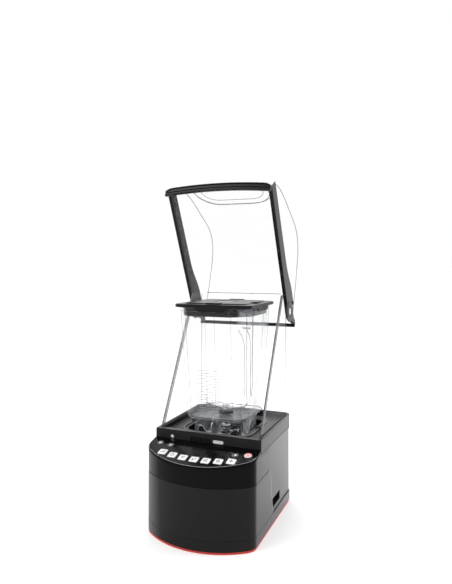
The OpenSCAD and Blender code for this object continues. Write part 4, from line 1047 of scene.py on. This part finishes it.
lean = (jarHalf(300) - jarHalf(200)) / 100
markUnit = brick("markUnit", (marks["left"], -marks["proud"], 0), (marks["right"], 0.2, 0.75), markGrey)
front = grow("frontMarks", "row", markGrey, unit=markUnit, Count=marks["count"],
             Start=(0, faceY(marks["low"]) * mm, marks["low"] * mm),
             Step=(0, -lean * marks["step"] * mm, marks["step"] * mm))
tickUnit = brick("tickUnit", (15.5, -marks["proud"], 0), (20.5, 0.2, 0.9), markGrey)
ticks = grow("frontTicks", "row", markGrey, unit=tickUnit, Count=4,
             Start=(0, faceY(marks["low"] + marks["tickUp"]) * mm, (marks["low"] + marks["tickUp"]) * mm),
             Step=(0, -lean * marks["tickStep"] * mm, marks["tickStep"] * mm))
sideUnit = brick("sideUnit", (-0.2, -20, 0), (marks["proud"], 8, 0.75), markGrey)
turned(sideUnit, Matrix.Rotation(math.radians(marks["sideTilt"]), 4, "X"))
sideMarks = grow("sideMarks", "row", markGrey, unit=sideUnit, Count=marks["sideCount"],
                 Start=(jarHalf(marks["sideLow"]) * mm, 0, marks["sideLow"] * mm),
                 Step=(lean * marks["sideStep"] * mm, 0, marks["sideStep"] * mm))
dotUnit = brick("dotUnit", (-0.2, -0.6, 0), (0.12, 0.6, 1.8), markGrey)
cornerLean = (jarCorner(300) - jarCorner(200)) / 100
dots = grow("cornerDots", "row", iconInk, unit=dotUnit, Count=marks["dots"],
            Start=(jarCorner(marks["dotLow"]) * mm, 0, marks["dotLow"] * mm),
            Step=(cornerLean * marks["dotStep"] * mm, 0, marks["dotStep"] * mm))
turned(dots, diagonal)


def numeral(text, x, z, size=4.2):
    data = bpy.data.curves.new("numeral", "FONT")
    data.body = text
    data.size = size * mm
    data.align_x = "RIGHT"
    data.extrude = 0.1 * mm
    flat = bpy.data.objects.new("numeral", data)
    bpy.context.scene.collection.objects.link(flat)
    bpy.context.view_layer.update()
    graph = bpy.context.evaluated_depsgraph_get()
    mesh = bpy.data.meshes.new_from_object(flat.evaluated_get(graph))
    bpy.data.objects.remove(flat)
    mesh.transform(Matrix.Translation((x * mm, faceY(z) * mm, z * mm)) @ Matrix.Rotation(math.pi / 2, 4, "X"))
    mesh.materials.clear()
    mesh.materials.append(markGrey)
    piece = bpy.data.objects.new("numeral", mesh)
    bpy.context.scene.collection.objects.link(piece)
    return piece


numerals = [numeral(str(4 * (i + 1)), marks["left"] - 1.2,
                    marks["low"] + i * 2 * marks["step"] - 1.2) for i in range(marks["numerals"])]
settle(joined("jar_marks", [front, ticks, sideMarks, dots] + numerals), "jar", "jar_clear")

# Retaining nut: teeth round a plain ring
nutBody = bevelled(copyOf("retaining_nut", "nutCopy", lidRubber), 0.4, 2)
nut = {"teeth": 18, "toothFrom": 11.2, "toothTo": 12.4, "toothHalf": 0.75, "low": 175.9, "high": 183.6}
toothUnit = brick("toothUnit", (nut["toothFrom"], -nut["toothHalf"], nut["low"]),
                  (nut["toothTo"], nut["toothHalf"], nut["high"]), lidRubber, 0.25)
teeth = grow("teeth", "ring", lidRubber, unit=toothUnit, Count=nut["teeth"], Turn=2 * math.pi / nut["teeth"])
turned(teeth, Matrix.Rotation(math.pi / nut["teeth"], 4, "Z"))
settle(joined("retaining_nut_toothed", [nutBody, teeth]), "jar", "motor_black", "retaining_nut")
print("jar made")

# Blade
blade = {"z": 198, "rise": 23, "halfWidth": 6.0, "taper": 1.4, "halfThick": 1.15}
tipZ = blade["z"] + blade["rise"]
wingLine = spline([(6.5, 199.2), (20, 200.6), (33, 203.2), (39.5, 205.4), (42.2, 209.5), (42.9, 215),
                   (42.9, tipZ - 1.0)], 6)
sections = []
for i, (x, z) in enumerate(wingLine):
    ahead = wingLine[min(i + 1, len(wingLine) - 1)]
    behind = wingLine[max(i - 1, 0)]
    tangent = Vector((ahead[0] - behind[0], ahead[1] - behind[1])).normalized()
    nx, nz = -tangent.y, tangent.x
    share = i / (len(wingLine) - 1)
    w = blade["halfWidth"] - blade["taper"] * share
    t = blade["halfThick"]
    ring = []
    for dy, dt in ((-w, -0.15), (-w + 2.0, -t), (w - 2.0, -t), (w, -0.15), (w, 0.15), (w - 2.0, t),
                   (-w + 2.0, t), (-w, 0.15)):
        ring.append((x + nx * dt, dy, z + nz * dt))
    sections.append(ring)
wings = []
for turn in (0, 180):
    wing = loft("wing", sections, trimSilver, angle=24)
    turned(wing, Matrix.Rotation(math.radians(turn), 4, "Z"))
    wings.append(wing)
hubRings = [[(r * math.cos(math.radians(a)), r * math.sin(math.radians(a)), z) for a in range(0, 360, 8)]
            for r, z in ((4.02, 198), (7.7, 198), (8, 198.3), (8, 200.3), (7.7, 200.5), (4.02, 200.5))]
wings.append(loft("hubPlate", hubRings, trimSilver, closed=True))
settle(joined("wing_blade_forged", wings), "blade", "plate_chrome", "wing_blade")
shaft = bevelled(copyOf("blade_shaft", "shaftCopy", trimSilver), 0.5, 2)
hubRib = brick("hubRibUnit", (6.1, -0.5, 201.3), (6.9, 0.5, 206.6), trimSilver, 0.2)
hubRibs = grow("hubRibs", "ring", trimSilver, unit=hubRib, Count=18, Turn=math.radians(20))
settle(joined("blade_shaft_ribbed", [shaft, hubRibs]), "blade", "plate_chrome", "blade_shaft")
print("blade made")

# Lid
lid = {"width": 152, "plugLow": 378, "plugGap": 0.6, "cornerGap": 1.1, "gripFaces": (73.7, 75.7),
       "gripOutline": ((-34, 396.4), (34, 396.4), (25, 387.5), (-25, 387.5))}
rimZ, flangeZ = 395.0, 401.0  # the jar's rim and the top of the lid's flange
plugHalf = jarHalf(lid["plugLow"]) - jar["wall"] - lid["plugGap"]
plugCorner = jarCorner(lid["plugLow"]) - jar["wall"] - lid["cornerGap"]


def lidRing(side, r, z):
    return at(roundRect(side, side, r, 10), z)


def plugRing(inset, z, r=10):
    # The plug's outline, carried on as many points as the flange's
    line = jarOutline(plugHalf - inset, plugCorner - inset, r)
    closed = line + [line[0]]
    count = len(lidRing(lid["width"], 10, 0))
    spread = evenly(closed, count)[:count]
    best = min(range(count), key=lambda i: math.dist(spread[i], (plugHalf, 20)))
    spread = spread[best:] + spread[:best]
    return at(spread, z)


w = lid["width"]
lidShell = loft("lidShell", [
    lidRing(w - 34, 12, flangeZ + 1.9), lidRing(w - 31, 13, flangeZ + 1.7), lidRing(w - 28, 13, flangeZ),
    lidRing(w - 2.4, 14, flangeZ), lidRing(w - 0.6, 14.6, flangeZ - 0.8), lidRing(w, 15, flangeZ - 2.2),
    lidRing(w - 0.4, 15, rimZ + 0.6), lidRing(w - 1.6, 14.4, rimZ + 0.1), lidRing(w - 7, 12, rimZ + 0.15),
    plugRing(0.6, rimZ + 0.15), plugRing(0, rimZ - 2.4), plugRing(0, 379.5), plugRing(1.2, 378.1),
    plugRing(4.2, 378.1), plugRing(5.4, 379.6), plugRing(6.2, 392.6), plugRing(8.0, 393.8), plugRing(22, 393.9),
    lidRing(64, 10, 393.9), lidRing(61, 9, 388.4), lidRing(59, 9, 387.2), lidRing(46, 5, 387.2),
    lidRing(44, 4, 388.2), lidRing(43, 4, 390.2), lidRing(38.2, 3.2, 390.9),
    lidRing(37.4, 3.2, 391.9), lidRing(36.6, 3, 396.9), lidRing(36.4, 3, 401.8),
    lidRing(37.4, 3.4, flangeZ + 1.9)], lidRubber, closed=True, angle=28)
tabs = []
for turn in (0, 90, 180, 270):
    outline = [(-18, 0), (-14, 8.5), (-10, 11), (10, 11), (14, 8.5), (18, 0)]
    tabRings = [[(x, y + 56, z) for x, y in filleted(outline, 2.5, 3)] for z in (flangeZ - 0.2, flangeZ + 2.0)]
    tabRings.append([(x * 0.94, y * 0.9 + 56.4, flangeZ + 2.9) for x, y in filleted(outline, 2.5, 3)])
    tab = loft("tab", tabRings, lidRubber)
    turned(tab, Matrix.Rotation(math.radians(turn), 4, "Z"))
    tabs.append(tab)
for turn in (0, 90, 180, 270):
    grips = [[(x, y, z) for x, z in lid["gripOutline"]] for y in lid["gripFaces"]]
    tabs.append(turned(bevelled(loft("hangingGrip", grips, lidRubber), 0.8, 2),
                       Matrix.Rotation(math.radians(turn), 4, "Z")))
settle(joined("lid_moulded", [lidShell] + tabs), "lid", "lid_rubber", "lid_body")

# Pale insert with upright ribs round its edge, dark in the middle
insertLow, insertHigh = 391.2, flangeZ
insertRing = loft("insertRing", [
    lidRing(36, 3, insertHigh), lidRing(35, 3, insertHigh + 0.9), lidRing(27, 2, insertHigh + 0.9),
    lidRing(26, 2, insertHigh),
    lidRing(25, 2, insertLow + 1.5), lidRing(27, 2, insertLow), lidRing(40, 4, insertLow),
    lidRing(41, 4, insertLow + 0.3), lidRing(36.2, 3, insertLow + 0.9)], insertPale, closed=True)
plug = slab("insertCore", roundRect(25.6, 25.6, 2, 8), insertLow + 1.2, insertHigh - 2, lidRubber, 0.4)
slats = []
for turn in (0, 90, 180, 270):
    slat = brick("slatUnit", (-0.8, 18.2, insertLow - 0.9), (0.8, 20.2, insertLow + 0.2), insertPale, 0.3)
    line = grow("slats", "row", insertPale, unit=slat, Count=10, Start=(-14.4 * mm, 0, 0),
                Step=(3.2 * mm, 0, 0))
    slats.append(turned(line, Matrix.Rotation(math.radians(turn), 4, "Z")))
settle(joined("lid_insert_ribbed", [insertRing, plug] + slats), "lid", "insert_pale", "lid_insert")
print("lid made")

# Sound enclosure
shell = {"x": 97, "back": 96, "front": -81.5, "r": 15, "wall": 3, "low": 166, "high": 415, "frameTop": 174,
         "edgeTop": 52}
pivot = Vector((0, 84, 380))


def shellFront(z):
    # How far forward the shell reaches at a height
    if z <= shell["frameTop"]:
        return shell["front"]
    share = (z - shell["frameTop"]) / (shell["high"] + 1 - shell["frameTop"])
    return shell["front"] + (shell["edgeTop"] - shell["front"]) * share


def shellLine(inset, z):
    x, back, r = shell["x"], shell["back"], shell["r"]
    return ([(x - inset, shellFront(z))] + arc(x - r, back - r, r - inset, 0, 90, 8)
            + arc(r - x, back - r, r - inset, 90, 180, 8) + [(inset - x, shellFront(z))])


shellRings = []
for z in (shell["low"], 174, 240, 300, 360, shell["high"] - 1.2, shell["high"]):
    trimmed = 0.6 if z == shell["high"] else 0.0
    outer = at(shellLine(trimmed, z), z)
    inner = at(shellLine(shell["wall"] - trimmed, z), z)
    shellRings.append(outer + list(reversed(inner)))
rearShell = loft("rear_shell_clear", shellRings, hoodClear)
settle(rearShell, "enclosure", "hood_clear", "rear_shell")
# Dark strips inside the shell wall along its front edges, with rods at its rear corners and along its top:
# painted shade where the clear edges turn
pillar = {"deep": 11, "high": 413.5, "low": 175, "steps": 8, "corner": 4, "cornerR": 0.7}
shellShadeParts = []
for side in (-1, 1):
    for near, far, finish in ((0.3, 1.6, edgeClear), (1.8, pillar["deep"], pillarClear)):
        rings = []
        for k in range(pillar["steps"] + 1):
            z = pillar["low"] + (pillar["high"] - pillar["low"]) * k / pillar["steps"]
            inX, outX = side * (shell["x"] - shell["wall"] + 0.25), side * (shell["x"] - 0.25)
            y = shellFront(z)
            rings.append([(inX, y + near, z), (outX, y + near, z), (outX, y + far, z), (inX, y + far, z)])
        shellShadeParts.append(loft("pillarPart", rings, finish))
    turnX, turnY = side * (shell["x"] - pillar["corner"]), shell["back"] - pillar["corner"]
    cornerLine = [(turnX, turnY, z) for z in (178, shell["high"] - 3)]
    shellShadeParts.append(edgeRod(cornerLine, pillar["cornerR"]))
backLine = [(x, shell["back"] - 1.5, shell["high"] - 1.2) for x in (-82, -40, 0, 40, 82)]
shellShadeParts.append(edgeRod(backLine, 0.8))
settle(joined("shell_edges", shellShadeParts), "enclosure", "hood_clear")

# Frame details: pale catches in the front bar, dark blocks at its corners
frameFace = {"y": -90.9, "catchZ": 161.5, "leftX": -68, "rightX": 22, "thick": 0.8,
             "blocks": ((-93, -76, 153, 172), (76, 93, 153, 172), (-60, -34, 155, 160), (14, 30, 166, 170),
                        (44, 68, 155, 160)),
             "slots": 9, "slotStep": 4.5, "slotX": -30}
catches = [
    slab("catchLeft", arc(frameFace["leftX"], frameFace["catchZ"], 3.2, 0, 350, 35), 0, frameFace["thick"],
         trimSilver, 0.2),
    slab("catchRight", [(x + frameFace["rightX"], z + frameFace["catchZ"]) for x,
                        z in roundRect(20, 5.5, 2.7, 6)],
         0, frameFace["thick"], insertPale, 0.2)]
for piece in catches:
    turned(piece, Matrix.Translation((0, frameFace["y"] * mm, 0)) @ Matrix.Rotation(math.pi / 2, 4, "X"))
settle(joined("frame_catches", catches), "enclosure", "screw_steel")
blocks = []
for x0, x1, z0, z1 in frameFace["blocks"]:
    blocks.append(brick("frameBlock", (x0, frameFace["y"] - 0.7, z0), (x1, frameFace["y"] + 0.1, z1),
                        frameBlack, 0.3))
# A row of thin near-black plates on the front bar: painted shade in place of slot openings
slotUnit = brick("frameSlot", (-1.2, frameFace["y"] - 0.35, 156), (1.2, frameFace["y"], 166), pocketBlack, 0.1)
blocks.append(grow("frameSlots", "row", pocketBlack, unit=slotUnit, Count=frameFace["slots"],
                   Start=(frameFace["slotX"] * mm, 0, 0), Step=(frameFace["slotStep"] * mm, 0, 0)))
settle(joined("frame_front_details", blocks), "enclosure", "frame_black")

hood = {"outX": 102, "wall": 3, "open": 110, "corner": 9, "bossR": 15, "gripAt": 76.0,
        "grip": {"depth": 6.0, "rise": 4.0, "length": 168, "width": 98}}
# gripAt is the distance of the grip's middle from the hood's front edge
startYZ = (-92.0, 182.0)
endYZ = (99.0, 424.0)
sheetLine = spline([startYZ, (-118, 216), (-124, 262), (-113, 330), (-98, 388), (-62, 417), (2, 424), (64, 424),
                    endYZ], 8)
rimLine = [startYZ] + arc(84, 380, hood["bossR"], -46, 0, 8) + [endYZ]
stations = 64
sheetPoints = evenly(sheetLine, stations)
rimPoints = evenly(rimLine, stations)
openTurn = (Matrix.Translation(pivot * mm) @ Matrix.Rotation(math.radians(-hood["open"]), 4, "X")
            @ Matrix.Translation(-pivot * mm))


def gripLift(s, x):
    # Depth of the moulded grip: two rounded steps inwards in the shape of a stadium
    look = hood["grip"]
    across = max(abs(x) - (look["length"] - look["width"]) / 2, 0)
    away = math.hypot(across, s) / (look["width"] / 2)
    outer = 0.5 - 0.5 * math.cos(math.pi * min(max((1.0 - away) / 0.12, 0), 1))
    inner = 0.5 - 0.5 * math.cos(math.pi * min(max((0.66 - away) / 0.12, 0), 1))
    return look["rise"] * inner - look["depth"] * outer


lengths = [0.0]
for a, b in zip(sheetPoints, sheetPoints[1:]):
    lengths.append(lengths[-1] + math.dist(a, b))
columns = 56


def hoodSection(i, inset):
    # From the left rim over the sheet to the right rim, inset from the outside
    y, z = sheetPoints[i]
    ahead, behind = sheetPoints[min(i + 1, stations)], sheetPoints[max(i - 1, 0)]
    tangent = Vector((ahead[0] - behind[0], ahead[1] - behind[1])).normalized()
    normal = Vector((-tangent.y, tangent.x))  # outwards from the closed hood
    depth = Vector((rimPoints[i][0] - y, rimPoints[i][1] - z))
    side = hood["outX"] - inset
    r = min(hood["corner"] - inset, depth.length * 0.5)
    line = []
    down = depth.normalized() if depth.length > 0.01 else -normal
    reachDown = max(depth.length, inset + 0.5)
    for share in (1.0, 0.66, 0.33):
        line.append((-side, share * (reachDown - r - inset) + r + inset))
    for k in range(7):
        a = math.pi / 2 * k / 6
        line.append((-side + r * (1 - math.cos(a)), inset + r * (1 - math.sin(a))))
    span = side - r
    inner = [-span + 2 * span * k / columns for k in range(1, columns)]
    middle = [(x, inset) for x in inner]
    line = line + middle + [(-x, d) for x, d in reversed(line)]
    result = []
    for x, d in line:
        lift = gripLift(lengths[i] - hood["gripAt"], x) if abs(x) < span and abs(d - inset) < 0.01 else 0.0
        py, pz = y + down.x * d, z + down.y * d
        if abs(x) <= span:
            py, pz = y - normal.x * inset, z - normal.y * inset
        result.append((x, py + normal.x * lift, pz + normal.y * lift))
    return result


hoodRings = []
for i in range(stations + 1):
    outside = hoodSection(i, 0.0)
    inside = hoodSection(i, hood["wall"])
    hoodRings.append(outside + list(reversed(inside)))
hoodShell = loft("hood_shell_moulded", hoodRings, hoodClear, angle=40)
settle(turned(hoodShell, openTurn), "hood", "hood_clear", "hood_shell")

# Black band round the hood's rim, wide at the hinge, with its front and rear bars
band = {"edgeWidth": 29, "lowWidth": 34, "hingeWidth": 47, "inX": 98.2, "outX": 105, "leafR": 21,
        "endWidth": 10, "straightSteps": 40, "turnSteps": 16,
        "bow": 6.0, "barY": -95.4, "barZ": 178.6, "endFall": 4.5, "endFrom": 92, "rearY": 102.5, "rearZ": 420.4}


def bandStrip(side):
    # In the plane of the side panel: the rim line and a line inside it
    straight = band["straightSteps"]
    line = evenly(rimLine[:2], straight) + evenly(rimLine[1:], band["turnSteps"])[1:]
    rings = []
    count = len(line) - 1
    for i, (y, z) in enumerate(line):
        ahead, behind = line[min(i + 1, count)], line[max(i - 1, 0)]
        tangent = Vector((ahead[0] - behind[0], ahead[1] - behind[1])).normalized()
        inward = Vector((-tangent.y, tangent.x))
        share = min(i / straight, 1.0)
        swell = max(0.0, min((share - 0.62) / 0.3, 1.0))
        width = band["edgeWidth"] + (band["lowWidth"] - band["edgeWidth"]) * share
        width = width + (band["hingeWidth"] - band["lowWidth"]) * (0.5 - 0.5 * math.cos(math.pi * swell))
        if i > straight:
            fall = (i - straight) / (count - straight)
            width = band["hingeWidth"] + (band["endWidth"] - band["hingeWidth"]) * min(fall * 1.15, 1.0)
        ring = []
        for x, d in ((band["inX"], 0.0), (band["outX"] - 1, 0.0), (band["outX"], 1.0), (band["outX"], 3.2),
                     (band["outX"] - 0.9, 4.2), (band["outX"] - 0.9, width - 1.6), (band["outX"] - 1.8, width),
                     (band["inX"] + 3.9, width), (band["inX"] + 3.9, 7.0), (band["inX"], 6.4)):
            ring.append((side * x, y + inward.x * d, z + inward.y * d))
        rings.append(ring)
    return loft("strip", rings, bandRubber, angle=25)


bandParts = [bandStrip(-1), bandStrip(1)]
for part in bandParts:
    work = bmesh.new()
    work.from_mesh(part.data)
    bmesh.ops.recalc_face_normals(work, faces=work.faces)
    work.to_mesh(part.data)
    work.free()
barRings = []
barShape = [(-6.9, -1.8), (-5.6, -3.3), (-3.6, -3.5), (-3.0, -1.9), (-1.8, -1.9), (-1.2, -3.5), (2.6, -3.5),
            (3.2, -1.9), (4.4, -1.9),
            (5.0, -3.5), (7.2, -3.3), (8.4, -1.8), (8.4, 2.4), (7.4, 3.4), (-5.6, 3.4), (-6.9, 2.2)]
for k in range(49):
    x = (k / 24 - 1) * band["outX"]
    bow = band["bow"] * (x / band["outX"]) ** 2
    # rounds the bar's ends
    fall = band["endFall"] * max(0.0, (abs(x) - band["endFrom"]) / (band["outX"] - band["endFrom"])) ** 2
    middle = band["barY"] + bow
    barRings.append([(x, middle + (py + fall if py < 0 else py), band["barZ"] + pz) for py, pz in barShape])
bandParts.append(loft("frontBar", barRings, bandRubber, angle=30))
rearBar = []
for k in range(17):
    x = (k / 8 - 1) * band["outX"]
    rearBar.append([(x, band["rearY"] + py, band["rearZ"] + pz) for py, pz in roundRect(6.8, 7.0, 2.0, 4)])
bandParts.append(loft("rearBar", rearBar, bandRubber, angle=40))
for side in (-1, 1):
    # Leaf round the hinge, open in the middle for the pin's head
    leaf = []
    for x, r, hole in ((102.15, band["leafR"], False), (103.9, band["leafR"], False),
                       (104.7, band["leafR"] - 1.2, False), (104.7, 9.2, True), (102.15, 8.6, True)):
        stretchDown = 1.0 if hole else 1.45
        ring = []
        for angle in range(0, 360, 10):
            dy, dz = r * math.cos(math.radians(angle)), r * math.sin(math.radians(angle))
            ring.append((side * x, pivot.y + dy, pivot.z + dz * (stretchDown if dz < 0 else 1.0)))
        leaf.append(ring)
    bandParts.append(loft("hingeLeaf", leaf, bandRubber, closed=True, angle=30))
settle(turned(joined("hood_band", bandParts), openTurn), "hood", "band_rubber", "hood_gasket")

# Painted shade: darker rods where the hood's sheet turns and round its moulded grip, sunk in the sheet
hoodShadeRods = []


def onSheet(s, x, inset):
    # The point at a distance from the front edge, on the sheet's outside less the inset
    k = max(j for j in range(stations) if lengths[j] <= s)
    share = (s - lengths[k]) / (lengths[k + 1] - lengths[k])
    (ay, az), (by, bz) = sheetPoints[k], sheetPoints[k + 1]
    along = Vector((by - ay, bz - az)).normalized()
    return (x, ay + (by - ay) * share + along.y * inset, az + (bz - az) * share - along.x * inset)


for side in (-1, 1):
    turnX = side * (hood["outX"] - 3.2)
    hoodShadeRods.append(edgeRod([onSheet(4 + (lengths[-1] - 10) * k / 40, turnX, 3.4) for k in range(41)], 0.8))
for shrink, sink, radius in ((1.5, 2.4, 0.75), (7.5, 7.6, 0.75), (20.0, 5.0, 0.65)):
    r = hood["grip"]["width"] / 2 - shrink
    half = (hood["grip"]["length"] - hood["grip"]["width"]) / 2
    loop = arc(half, 0, r, -90, 90, 16) + arc(-half, 0, r, 90, 270, 16)
    hoodShadeRods.append(edgeRod([onSheet(hood["gripAt"] + s, x, sink) for x, s in loop], radius, loop=True))
settle(turned(joined("hood_edge_lines", hoodShadeRods), openTurn), "hood", "hood_clear")
print("enclosure made")
